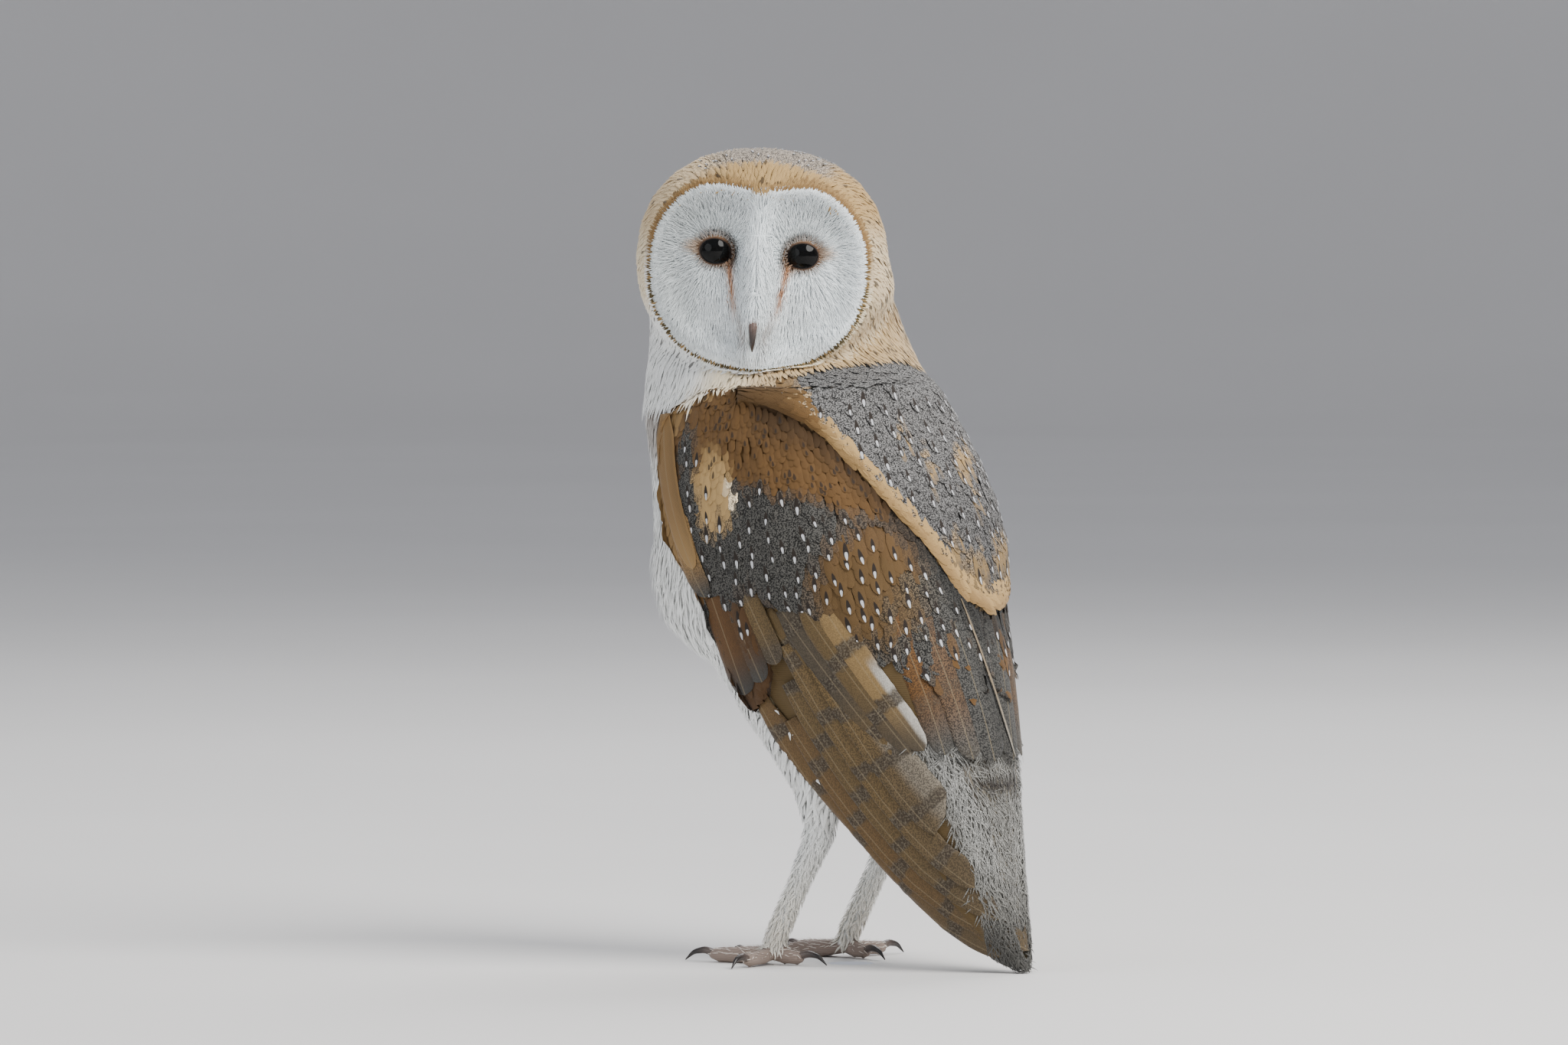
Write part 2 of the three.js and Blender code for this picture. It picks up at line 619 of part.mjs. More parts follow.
addNode('head', without(wholeHead, discPlate(GAP / 2), faceCuts), 'golden_plumage');
addNode('facial_disc',
  without(wholeHead.intersect(discPlate(-GAP / 2)), faceCuts), 'white_plumage');
addNode('eye_left', eye(1, 0), 'eye');
addNode('eye_right', eye(-1, 0), 'eye');
addNode('bill_upper', billUpper(0), 'horn');
addNode('bill_lower', without(billLower(0), billUpper(GAP)), 'horn');

addNode('neck', without(neckLoft(0), headCut), 'white_plumage');
addNode('trunk', without(trunkLoft(0), headCut), 'white_plumage');
const neckCut = neckLoft(GAP);
const trunkCut = trunkLoft(GAP);

const ownSide = (solid) => solid.trimByPlane([1, 0, 0], GAP / 2);
const covertSolid = ownSide(coverts(0));
const covertCut = coverts(GAP);
addPair('wing_coverts', covertSolid, 'golden_plumage', trunkCut, neckCut, headCut);
const secondarySolid = ownSide(without(secondaries(0), covertCut, trunkCut));
const secondaryCut = secondaries(GAP);
addPair('secondaries', secondarySolid, 'flight_plumage');
const primarySolid = ownSide(without(primaries(0), secondaryCut, covertCut, trunkCut))
  .trimByPlane([0, 0, 1], 0);
const primaryCut = primaries(2 * GAP); // its steps need the wider clearance
addPair('primaries', primarySolid, 'flight_plumage');

const wingCut = joined([covertCut, secondaryCut, primaryCut]);
const capeCuts = [trunkCut, neckCut, headCut, covertCut, mirrored(covertCut)];
addNode('mantle', without(cape(), ...capeCuts), 'grey_plumage');
addNode('tail', without(tail(), trunkCut, wingCut, mirrored(wingCut)), 'white_plumage');

addPair('thigh', without(thigh(0), trunkCut, wingCut), 'white_plumage');
addPair('tarsus', without(tarsus(0), thigh(GAP)), 'white_plumage');
let footCut = tarsus(GAP);
for (const row of TOES) {
  addPair(`toe_${row[0]}`, without(toe(row, 0), footCut), 'toe_skin');
  footCut = footCut.add(toe(row, GAP));
}
for (const row of TOES) {
  addPair(`claw_${row[0]}`, without(claw(row), footCut), 'horn');
}

// The origin lies under the middle of the whole, on the floor.
const box = new THREE.Box3().setFromObject(owl);
const shift = new THREE.Vector3(
  -(box.min.x + box.max.x) / 2, -(box.min.y + box.max.y) / 2, -box.min.z);
for (const node of nodes) node.geometry.translate(shift.x, shift.y, shift.z);

export default owl;
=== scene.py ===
"""A life-size barn owl: one skin, the coat of feathers over it, eyes, bill, claws, and the studio."""

import math

import bmesh
import bpy
import numpy as np
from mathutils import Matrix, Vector, noise
from mathutils.bvhtree import BVHTree
from mathutils.kdtree import KDTree


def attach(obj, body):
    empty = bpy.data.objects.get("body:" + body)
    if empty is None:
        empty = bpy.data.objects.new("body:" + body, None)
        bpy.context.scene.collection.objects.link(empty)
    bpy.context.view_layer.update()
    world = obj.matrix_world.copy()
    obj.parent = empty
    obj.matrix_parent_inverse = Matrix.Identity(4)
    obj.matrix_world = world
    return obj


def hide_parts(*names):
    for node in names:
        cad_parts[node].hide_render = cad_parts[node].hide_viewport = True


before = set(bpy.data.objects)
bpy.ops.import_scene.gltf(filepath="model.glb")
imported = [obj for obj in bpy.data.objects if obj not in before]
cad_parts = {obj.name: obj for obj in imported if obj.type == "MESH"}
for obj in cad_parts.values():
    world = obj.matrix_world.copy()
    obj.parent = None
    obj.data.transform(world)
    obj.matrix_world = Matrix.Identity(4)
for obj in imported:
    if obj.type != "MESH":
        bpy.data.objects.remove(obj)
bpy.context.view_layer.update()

random = np.random.default_rng(7)

# ---------------------------------------------------------------- named sizes, millimetres
# Shapes are worked out in the bird's own frame, whose origin this vector moves to the model's.
SHIFT = np.array([0.722, 11.783, 0.0])
MM = 0.001
ROUNDNESS = 2.4  # power of the superellipses that the body's level sections follow
VOXEL = 1.5
COAT_OVER_FLESH = 0.35  # how far the coat's tips stand out from the flesh nodes
SIDES = (("left", 1), ("right", -1))

WING_VIEW = math.radians(128)  # the folded wing is laid out as seen from here
RIGHTWARD = np.array([math.cos(WING_VIEW), math.sin(WING_VIEW), 0.0])
OUTWARD = np.array([math.sin(WING_VIEW), -math.cos(WING_VIEW), 0.0])
UPWARD = np.array([0.0, 0.0, 1.0])

# Level sections of the surface of wings and back: height, half width, front, widest, back.
MANTLE = np.array([
    [0, 7, 70, 79, 86], [9, 12, 56, 68, 85.5], [18, 17, 42, 54, 84], [33, 24, 26, 38, 81],
    [48, 30, 12, 25, 78], [63, 35, -1, 12, 76], [83, 42, -18, -5, 73], [97, 47, -30, -14, 70.5],
    [112, 52, -42, -21, 67.5], [129, 58, -60, -26, 63], [145, 63, -84, -27, 58],
    [160, 66.5, -94, -25, 53], [178, 68.5, -98, -23, 47.5], [189, 69, -99, -23, 44],
    [202, 68.5, -100, -26, 38.5], [215, 67, -102, -30, 32], [228, 64, -104, -36, 25],
    [242, 59, -105, -42, 18], [252, 54, -105.5, -45, 14.5], [262, 46, -105, -48, 8],
])
LEADING_EDGE = np.array([  # across the wing view, height
    [66, -1], [62, 1], [43, 8], [26, 17], [9, 30], [-4, 43], [-16, 57], [-28, 73], [-38, 88],
    [-46, 100], [-54, 114], [-63, 129], [-75, 160], [-87, 178], [-91.6, 204], [-92, 222],
    [-89, 236], [-81, 246], [-62, 253],
])
LOW_EDGE = LEADING_EDGE[:17]  # the stretch that the primaries follow
INNER_EDGE = np.array([  # from the midline, height
    [1, -1], [4.5, 18], [8, 35], [12, 60], [16, 78], [18.5, 90], [8.5, 92], [7, 101],
    [4.5, 112], [1, 128], [0.15, 140], [0.15, 256],
])
CAPE_EDGE = np.array([  # turn about the body from the back, height
    [-124, 249], [-110, 240], [-92, 216], [-72, 190], [-52, 170], [-38, 163], [-18, 156],
    [-4, 156], [3, 164], [9, 178], [16.5, 191], [24.5, 203], [34, 219], [44, 231], [54, 238.5],
    [67, 243], [80, 245],
])
CAPE_LIFT = 3.5
SHOULDER_LINE = np.array([  # turn, height where the buff of the neck meets the grey back
    [-120, 247], [-90, 249], [-60, 254], [-25, 260.5], [-9, 259], [0.6, 258], [12, 257.5],
    [35, 255.5], [50, 252.5], [69, 249.5], [82, 248], [100, 247],
])
GREY_REACH = 66  # turn to either side within which the back is grey up to that line
DOWN_EDGE = np.array([  # height, across the wing view
    [0, 52], [18, 48], [34, 43], [55, 37], [73, 30], [85, 24], [99, 17]])
TAIL_HALF_WIDTH = np.array([  # height, half width
    [112, 17], [88, 22], [64, 23], [42, 19.5], [24, 15], [13, 10]])
PRIMARY_PITCH = 7.6
PRIMARIES = [[4, 3.0], [-2, 2.4], [6, 1.8], [14, 1.2], [36, 0.6]]  # height of the tip, depth

HEAD_CENTRE = np.array([5.4, -55.0, 303.0])
FACE_TURN, FACE_PITCH, FACE_ROLL = (math.radians(v) for v in (124.6, 4, 3.2))
DISC_FORWARD = 46
DISC_HALF, DISC_UP, DISC_DOWN = 46, 40, 41.5
DISC_ROUNDNESS = 2.3  # power of the superellipse of its outline
EYE_SIDE, EYE_UP, EYE_DEPTH, EYE_RADIUS = 19, 7, -14.5, 8.5
LID_RADIUS, LID_WIDE, LID_TALL = 6.2, 1.04, 0.88  # the slit is wider than tall

ANKLE = np.array([26, -34, 9])
TOES = [  # name, degrees outward from the front, length, radius, length of the claw
    ["middle", 8, 31, 3.9, 14], ["inner", -24, 27, 3.8, 14.5],
    ["outer", 98, 24, 3.6, 12.5], ["hind", 192, 15, 3.5, 12.5]]

FLESH = ["head", "facial_disc", "neck", "trunk", "mantle", "tail"]
FLESH += [f"{name}_{side}" for name in ("wing_coverts", "secondaries", "primaries", "thigh", "tarsus")
          for side in ("left", "right")]
FLESH += [f"toe_{toe[0]}_{side}" for toe in TOES for side in ("left", "right")]
COAT_DEPTH = {  # over the skin, by the start of the node's name
    "head": 1.3, "facial_disc": 0.9, "neck": 1.6, "trunk": 1.8, "mantle": 1.4, "wing_coverts": 1.3,
    "secondaries": 0.8, "primaries": 0.7, "tail": 0.7, "thigh": 1.6, "tarsus": 0.9, "toe": 0.35}


# ---------------------------------------------------------------- small tools
def ramp(value, low, high):
    share = np.clip((value - low) / (high - low), 0, 1)
    return share * share * (3 - 2 * share)


def bell(value, width):
    return np.exp(-((value / width) ** 2))


def unit(vectors):
    return vectors / np.maximum(np.linalg.norm(vectors, axis=-1, keepdims=True), 1e-9)


def signed_power(value, power):
    return np.sign(value) * np.abs(value) ** power


def stacked(*values):
    """Columns side by side; a single number fills its column."""
    return np.stack(np.broadcast_arrays(*values), axis=-1) * 1.0


def column(table, key_at, value_at, keys):
    order = np.argsort(table[:, key_at])
    return np.interp(keys, table[order, key_at], table[order, value_at])


def run_along(line):
    """Distance of each point of a line from its start."""
    return np.r_[0, np.cumsum(np.linalg.norm(np.diff(line, axis=0), axis=1))]


def along_line(line, run):
    """Places on a line at distances from its start."""
    steps = run_along(line)
    return np.stack([np.interp(run, steps, values) for values in line.T], axis=1)


def wavy(points, size, seed=0.0):
    """Smooth noise from -1 to 1 with bumps of a size in millimetres."""
    return np.array([noise.noise(Vector(p / size) + Vector((seed, 0, 0))) for p in points])


def rgb(red, green, blue):
    """A colour given as it shows on a screen, as linear light."""
    share = np.array([red, green, blue]) / 255
    return np.where(share < 0.04, share / 12.92, ((share + 0.055) / 1.055) ** 2.4)


def new_object(name, data):
    made = bpy.data.objects.new(name, data)
    bpy.context.scene.collection.objects.link(made)
    return made


def read(data, key, width, kind=float):
    """One property of a mesh's vertices, corners or UV places as a flat array."""
    values = np.empty(len(data) * width, dtype=kind)
    data.foreach_get(key, values)
    return values


# ---------------------------------------------------------------- body sections
def section_point(turn, height, depth):
    """Points of the surface of wings and back; turn 0 is the back, 90 degrees the left."""
    half, front, widest, back = (column(MANTLE, 0, i, height) for i in (1, 2, 3, 4))
    forward = np.where(np.cos(turn) > 0, back - depth - widest, widest - front - depth)
    return stacked((half - depth) * signed_power(np.sin(turn), 2 / ROUNDNESS),
                   widest + forward * signed_power(np.cos(turn), 2 / ROUNDNESS), height)


def body_turn(points):
    """Degrees about the body from the back; the left side is positive."""
    half, front, widest, back = (column(MANTLE, 0, i, points[:, 2]) for i in (1, 2, 3, 4))
    x = points[:, 0] / half
    y = points[:, 1] - widest
    y = y / np.where(y > 0, back - widest, widest - front)
    return np.degrees(np.arctan2(signed_power(x, ROUNDNESS / 2), signed_power(y, ROUNDNESS / 2)))


def at_surface(points, depth=0):
    """The places of the same turn and height at a depth under the surface of the sections."""
    return section_point(np.radians(body_turn(points)), points[:, 2], depth)


def turn_at(across, height):
    """Turn of the places of the wing view, on the side that it shows."""
    turns = np.radians(np.arange(-40.0, 150.0, 1.0))
    seen = section_point(turns[None, :], height[:, None], 0) @ RIGHTWARD
    index = np.arange(len(turns))[None, :]
    first = seen.argmax(axis=1)[:, None]
    last = seen.argmin(axis=1)[:, None]
    seen = np.where(index < first, 1e9, np.where(index > last, -1e9, seen))
    at = np.clip((seen > across[:, None]).sum(axis=1) - 1, first[:, 0], last[:, 0] - 1)
    rows = np.arange(len(height))
    low, high = seen[rows, at], seen[rows, at + 1]
    return turns[at] + np.clip((low - across) / (low - high), 0, 1) * math.radians(1)


def on_wing(across, height, depth, side):
    """Places of the wing view on the wing of either side, at a depth under its surface."""
    return section_point(turn_at(across, height), height, depth) * [side, 1, 1]


def across_view(points, side):
    """Where the wing view of their side shows places."""
    return points * stacked(side, 1, 1) @ RIGHTWARD


def leading_edge(height):
    return column(LEADING_EDGE, 1, 0, height)


def cape_edge(turn):
    return column(CAPE_EDGE, 0, 1, turn)


def over_shoulder_line(points):
    """Height over the line where the neck's buff feathers end on the grey back."""
    line = column(SHOULDER_LINE, 0, 1, body_turn(points))
    return points[:, 2] - line + 0.8 * wavy(points, 5, 41.0)


def through_wing(points):
    """Whether places come out through a folded wing."""
    inset = across_view(points, np.sign(points[:, 0])) - leading_edge(points[:, 2])
    close = np.linalg.norm(at_surface(points) - points, axis=1) < 5.5
    return (inset > -0.5) & (points[:, 2] < 140) & close


# ---------------------------------------------------------------- head frame
def head_axes():
    forward = np.array([math.sin(FACE_TURN) * math.cos(FACE_PITCH),
                        -math.cos(FACE_TURN) * math.cos(FACE_PITCH), -math.sin(FACE_PITCH)])
    level = unit(np.cross([0, 0, 1], forward))
    upright = np.cross(forward, level)
    side = level * math.cos(FACE_ROLL) - upright * math.sin(FACE_ROLL)
    up = upright * math.cos(FACE_ROLL) + level * math.sin(FACE_ROLL)
    return np.array([side, up, forward])


HEAD_AXES = head_axes()
HEAD_ORIGIN = HEAD_CENTRE + HEAD_AXES[2] * DISC_FORWARD


def in_head(points):
    return (points - HEAD_ORIGIN) @ HEAD_AXES.T


def from_head(places):
    return HEAD_ORIGIN + np.asarray(places) @ HEAD_AXES


def from_neck(points):
    """Level directions away from the upright axis through the head."""
    return unit((points - HEAD_CENTRE) * [1, 1, 0])


def brow_notch(turn):
    """How far the outline of the disc dips at the middle of its top."""
    return 6 * np.exp(-(((turn - math.pi / 2) / math.radians(14)) ** 2) / 2)


def disc_share(side, up):
    """1 on the outline of the facial disc, 0 at its middle."""
    reach = np.where(up > 0, DISC_UP, DISC_DOWN)
    turn = np.arctan2(signed_power(up / reach, DISC_ROUNDNESS / 2),
                      signed_power(side / DISC_HALF, DISC_ROUNDNESS / 2))
    x, y = np.abs(side / DISC_HALF), np.abs(up / (reach - brow_notch(turn)))
    return (x ** DISC_ROUNDNESS + y ** DISC_ROUNDNESS) ** (1 / DISC_ROUNDNESS)


def rim_places(turns, share):
    """Side and up of the outline of the disc, times a share."""
    side = DISC_HALF * signed_power(np.cos(turns), 2 / DISC_ROUNDNESS)
    reach = np.where(np.sin(turns) > 0, DISC_UP, DISC_DOWN)
    up = reach * signed_power(np.sin(turns), 2 / DISC_ROUNDNESS) - brow_notch(turns)
    return side * share, up * share


def from_lids(aside, up):
    """Distance from the middle of the eye, in which the slit of the lids is a circle."""
    return np.hypot((aside - EYE_SIDE) / LID_WIDE, (up - EYE_UP) / LID_TALL)


def ball_depth(x, y):
    """Depth of the front of an eyeball at distances across and up from its middle."""
    return EYE_DEPTH + np.sqrt(np.maximum(EYE_RADIUS ** 2 - x ** 2 - y ** 2, 0))


def face_height(side, up):
    """Depth of the feathered face: a bowl with a ridge down its middle and sockets."""
    share = disc_share(side, up)
    bow = -9 * (side / DISC_HALF) ** 2 - 3 * (up / DISC_UP) ** 2
    bowl = -6 * (1 - ramp(share, 0.72, 1))
    brow = 1 - 0.85 * ramp(up, -8, 38)
    ridge = 13 * bell(side, 9) * (0.35 + 0.65 * ramp(up, -40, -20)) * brow
    beard = 3 * bell(share - 0.85, 0.12) * ramp(-up, 18, 28)
    away = np.hypot(np.abs(side) - EYE_SIDE, up - EYE_UP)
    root_of_bill = 3.2 * bell(side, 5.5) * bell(up + 17, 7)
    cheek = 1.2 * bell(np.abs(side) - 22, 12) * bell(up + 18, 12)
    height = bow + bowl + ridge + beard + root_of_bill + cheek - 1.5 * bell(away, 11)
    socket = EYE_DEPTH + 4.1
    return socket + (height - socket) * ramp(away, 6.8, 10.8)


# ---------------------------------------------------------------- the outer surface
def flesh_surface():
    """The flesh nodes as one closed surface at the coat's tips: points, quads."""
    joined = bmesh.new()
    for name in FLESH:
        joined.from_mesh(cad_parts[name].data)
    bmesh.ops.remove_doubles(joined, verts=joined.verts, dist=1e-6)
    joined.normal_update()
    for vert in joined.verts:
        vert.co += vert.normal * COAT_OVER_FLESH * MM
    mesh = bpy.data.meshes.new("flesh")
    joined.to_mesh(mesh)
    joined.free()
    solid = new_object("flesh", mesh)
    remesh = solid.modifiers.new("remesh", "REMESH")
    remesh.mode, remesh.voxel_size = "VOXEL", VOXEL * MM
    made = solid.evaluated_get(bpy.context.evaluated_depsgraph_get()).to_mesh()
    points = read(made.vertices, "co", 3).reshape(-1, 3) / MM - SHIFT
    corners = read(made.loops, "vertex_index", 1, int).reshape(-1, 4)
    bpy.data.objects.remove(solid)
    return points, corners


def leveled(points, pairs, share):
    """Moves points by a share toward the mean of their neighbours."""
    count = np.bincount(pairs[:, 0], minlength=len(points))[:, None]
    total = np.stack([np.bincount(pairs[:, 0], points[pairs[:, 1], k], len(points))
                      for k in range(3)], axis=1)
    return points + share * (total / count - points)


def smoothed(points, quads, rounds):
    """Evens out facets and steps and keeps the volume."""
    edges = np.unique(np.sort(np.concatenate(
        [quads[:, [i, (i + 1) % 4]] for i in range(4)]), axis=1), axis=0)
    pairs = np.concatenate([edges, edges[:, ::-1]])
    for _ in range(rounds):
        for share in (0.55, -0.57):
            points = leveled(points, pairs, share)
    return points


def eased(points, quads, weight, rounds):
    """Levels the steps where the weight is above 0."""
    pairs = np.concatenate([quads[:, [i, (i + k) % 4]] for i in range(4) for k in (1, 3)])
    for _ in range(rounds):
        points = leveled(points, pairs, 0.6 * weight[:, None])
    return points


class Surface:
    """The outer surface or a part of it, with normals and nearest places."""

    def __init__(self, points, quads, index=None):
        self.points, self.quads = points, quads
        self.index = np.arange(len(quads)) if index is None else index
        a, b, c, d = (points[quads[:, i]] for i in range(4))
        face_normals = np.cross(c - a, d - b)
        self.areas = np.linalg.norm(face_normals, axis=1) / 2
        normals = np.zeros_like(points)
        for i in range(4):
            for k in range(3):
                normals[:, k] += np.bincount(quads[:, i], face_normals[:, k], len(points))
        self.normals = unit(normals)
        self.face_normals = unit(self.normals[quads].mean(axis=1))
        self.tree = BVHTree.FromPolygons(points.tolist(), quads.tolist())

    def nearest(self, points):
        """The nearest places on it, their normals and faces."""
        found = [self.tree.find_nearest(point) for point in points]
        faces = np.array([face for _, _, face, _ in found], dtype=int)
        return np.array([place for place, _, _, _ in found]), self.face_normals[faces], faces


def nearest_node(points):
    """Index in FLESH of the node nearest to each point."""
    verts, faces, owner = [], [], []
    for number, name in enumerate(FLESH):
        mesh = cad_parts[name].data
        faces += [[len(verts) + i for i in polygon.vertices] for polygon in mesh.polygons]
        verts += [np.array(v.co) / MM - SHIFT for v in mesh.vertices]
        owner += [number] * len(mesh.polygons)
    tree = BVHTree.FromPolygons([list(v) for v in verts], faces)
    return np.array([owner[tree.find_nearest(point)[2]] for point in points])


def facing_relief(points):
    """Sets the front of the face to its exact height over the plane of the rim."""
    place = in_head(points)
    side, up, depth = place.T
    weight = (1 - ramp(disc_share(side, up), 0.9, 0.99)) * (depth > -20)
    place[:, 2] += weight * (face_height(side, up) - depth)
    return from_head(place)


def joint_weight(points):
    """Where neck meets head and shoulders, away from the face."""
    depth = in_head(points)[:, 2]
    collar = bell(points[:, 2] - 251, 7.5)
    nape = ramp(-depth, 6, 14) * bell(points[:, 2] - 281, 16)
    under_face = ramp(-depth, 2, 8)
    return np.clip(np.maximum(collar, nape) * np.maximum(under_face, depth < -20), 0, 1)


def fuller_nape(points):
    """Feathers round out the hollow between the head and the shoulders."""
    side, _, depth = in_head(points).T
    amount = 4.5 * bell(points[:, 2] - 289, 11) * ramp(-depth, 8, 22) * ramp(side, -5, 15)
    return points + amount[:, None] * from_neck(points)


raw_points, QUADS = flesh_surface()
even_points = smoothed(raw_points, QUADS, 6)
even_points = eased(even_points, QUADS, joint_weight(even_points), 60)
OUTER = Surface(facing_relief(fuller_nape(even_points)), QUADS)
CENTRES = OUTER.points[QUADS].mean(axis=1)
FACE_NODE = nearest_node(CENTRES)


def among(nodes, *starts):
    """Which of the numbers of nodes belong to names that start so."""
    return np.isin(nodes, [number for number, name in enumerate(FLESH) if name.startswith(starts)])


def faces_of(*starts):
    return among(FACE_NODE, *starts)


def part_of(chosen):
    """The chosen faces of the outer surface as a surface of their own."""
    part = Surface(OUTER.points, QUADS[chosen], np.flatnonzero(chosen))
    part.face_normals = OUTER.face_normals[chosen]
    return part


def inward_facing(points, normals):
    """The sides of the wings that face the body."""
    outward = unit(at_surface(points) - at_surface(points, 10))
    return (outward * normals).sum(axis=1) < -0.5


# ---------------------------------------------------------------- colours of the plumage
WHITE = rgb(240, 242, 240)
FACE_WHITE = rgb(243, 250, 252)
CREAM = rgb(236, 221, 190)
BUFF = rgb(180, 148, 98)
GOLD = rgb(102, 74, 40)
ORANGE = rgb(98, 68, 35)
GREY = rgb(94, 93, 92)
DARK_GREY = rgb(61, 60, 57)
OLIVE = rgb(91, 74, 46)
PALE_BUFF = rgb(144, 130, 102)
BROWN = rgb(84, 62, 38)
DOWN_GREY = rgb(122, 121, 116)
PALE_GREY = rgb(158, 154, 146)
TOE = rgb(150, 134, 124)
TAN = rgb(176, 140, 102)
LID_BROWN = rgb(92, 66, 46)
DARK = rgb(46, 38, 32)


def mixed(first, second, share):
    return first + (second - first) * np.asarray(share)[..., None]


def painted(colour, *layers):
    """A colour with others mixed in, one after the other, by their shares."""
    for other, share in layers:
        colour = mixed(colour, other, share)
    return colour


def near_blob(across, height, spot, edge=0.3):
    """1 inside an oval (middle across and up, half sizes), 0 outside."""
    away = np.hypot((across - spot[0]) / spot[2], (height - spot[1]) / spot[3])
    return 1 - ramp(away, 1 - edge, 1 + edge)


def painted_cape_shade(points):
    """Painted shade: darkens the feathers that lie close under the edge of the cape, where its shadow
    falls.
    """
    turn = body_turn(points)
    below = cape_edge(turn) - points[:, 2]
    return (1 - 0.66 * (1 - ramp(below, -2, 19)) * (1 - ramp(turn, 66, 80)))[:, None]


def wing_colours(points, side):
    """Colour and vermiculation of the upper side of a folded wing."""
    seen = points * [side, 1, 1]
    across = seen @ RIGHTWARD + (3 * wavy(seen, 8, 3.0) + 1.5 * wavy(seen, 3, 4.0))
    height = seen[:, 2] + 3 * wavy(seen, 7, 11.0) + 1.5 * wavy(seen, 3, 12.0)
    inset = across - leading_edge(height)

    def oval(*spot, edge=0.3):
        return near_blob(across, height, spot, edge)

    pale, low = oval(-69, 212, 7, 15), oval(-56, 132, 13, 34)
    gold = np.maximum.reduce([
        ramp(height + 0.27 * (across + 60), 211, 218) * ramp(across, -78, -73),
        oval(-3, 172, 24, 23), oval(32, 125, 11, 26),
        (1 - ramp(inset, 6, 9)) * ramp(height, 160, 170), ramp(height, 244, 250)])
    for grey in (oval(20, 145, 12, 13), oval(22, 172, 12, 8), 0.75 * oval(8, 164, 7, 5, edge=0.6)):
        gold *= 1 - grey
    colour = painted(
        mixed(DARK_GREY, GOLD * 0.86, gold),
        (OLIVE * 0.9, 0.5 * oval(-3, 168, 24, 22)),
        (BUFF, 0.9 * oval(-69, 212, 7, 15, edge=0.45)),
        (mixed(CREAM, BUFF, 0.3), oval(-61.5, 210, 2.8, 5)),
        (BUFF, 0.4 * (1 - ramp(inset, 3, 6)) * ramp(height, 165, 175)),
        (ORANGE * 0.6, 0.9 * low))
    # painted shade of the cape's shadow on the coverts
    return colour * painted_cape_shade(points), 1 - np.maximum.reduce([gold, pale, low])


def back_colours(points):
    """Colour and vermiculation of the cape of mantle and scapular feathers."""
    turn = body_turn(points)
    across = across_view(points, np.where(turn < -75, -1, 1)) + 2.5 * wavy(points, 6, 5.0)
    height = points[:, 2] + 2.5 * wavy(points, 7, 21.0)
    gold = 0.95 * (1 - ramp(height - cape_edge(turn), 8.5, 11.5))
    for spot in ((13, 231, 2.0, 4), (24, 219, 1.8, 6), (38, 221, 3, 6), (44, 205, 2, 4),
                 (36, 184, 3, 7), (45, 176, 4, 7), (56, 181, 3, 8), (53, 160, 4, 6)):
        gold = np.maximum(gold, 0.9 * near_blob(across, height, spot, 0.35))
    front = ramp(turn, 48, 62) + ramp(-turn, 86, 104)
    gold = np.maximum(gold, front)
    colour = painted(GREY, (BUFF * 0.85, gold), (GOLD, 0.8 * front))
    # painted shade: the cape darkens toward its bottom and toward its front left end
    lower = 1 - ramp(points[:, 2], 160, 235)
    shade = (1 - 0.42 * lower) * (1 - 0.4 * ramp(turn, 56, 72))
    return colour * shade[:, None], 1 - gold


def neck_colours(points):
    """White throat, and cream to golden buff on the back of the neck, with grey at its foot."""
    back = from_neck(points)[:, 1] + 0.25 * wavy(points, 14, 9.0)
    colour = painted(WHITE, (CREAM, ramp(back, -0.15, 0.3)), (BUFF, 0.85 * ramp(back, 0.15, 0.85)))
    grain = np.zeros(len(points))
    below = (over_shoulder_line(points) < 0) & (np.abs(body_turn(points)) < GREY_REACH)
    if below.any():
        colour[below], grain[below] = back_colours(points[below])
    return colour, grain


def head_colours(points):
    """Golden band round the face, speckled grey crown, buff nape."""
    side, up, depth = in_head(points).T
    aside = np.abs(side)
    behind = -depth + 3 * wavy(points, 9, 2.0)
    crown = ramp(behind, 9, 14) * ramp(up, 36, 42) * (1 - ramp(aside, 22, 32) * ramp(depth, -48, -34))
    grey = np.maximum(crown, 0.5 * ramp(behind, 40, 60))
    fold = bell(disc_share(side, up) - 1.03, 0.035) * ramp(up, 12, 26) * ramp(aside, 6, 14)
    fold = fold * (depth > -9)
    # painted light: the band is lightened on its left side, against the shade that the key light leaves
    # there
    painted_light_left, above = ramp(-side, 12, 34) * (1 - fold), ramp(up, 4, 22)
    throat = ramp(4 * wavy(points, 9, 6.5) - up, 8, 26)
    return painted(
        BUFF, (CREAM, (1 - ramp(up, 12, 30)) * ramp(behind, 2, 8) * 0.55),
        (mixed(GREY, BUFF, 0.15) * 1.5, grey), (ORANGE, 0.6 * fold),
        (mixed(BUFF, CREAM, 0.4) * 1.15, painted_light_left * above), (CREAM, 0.8 * painted_light_left * (1 - above)),
        (WHITE, throat * ramp(12 * wavy(points, 15, 6.0) - side, -12, 12))), 0.8 * grey


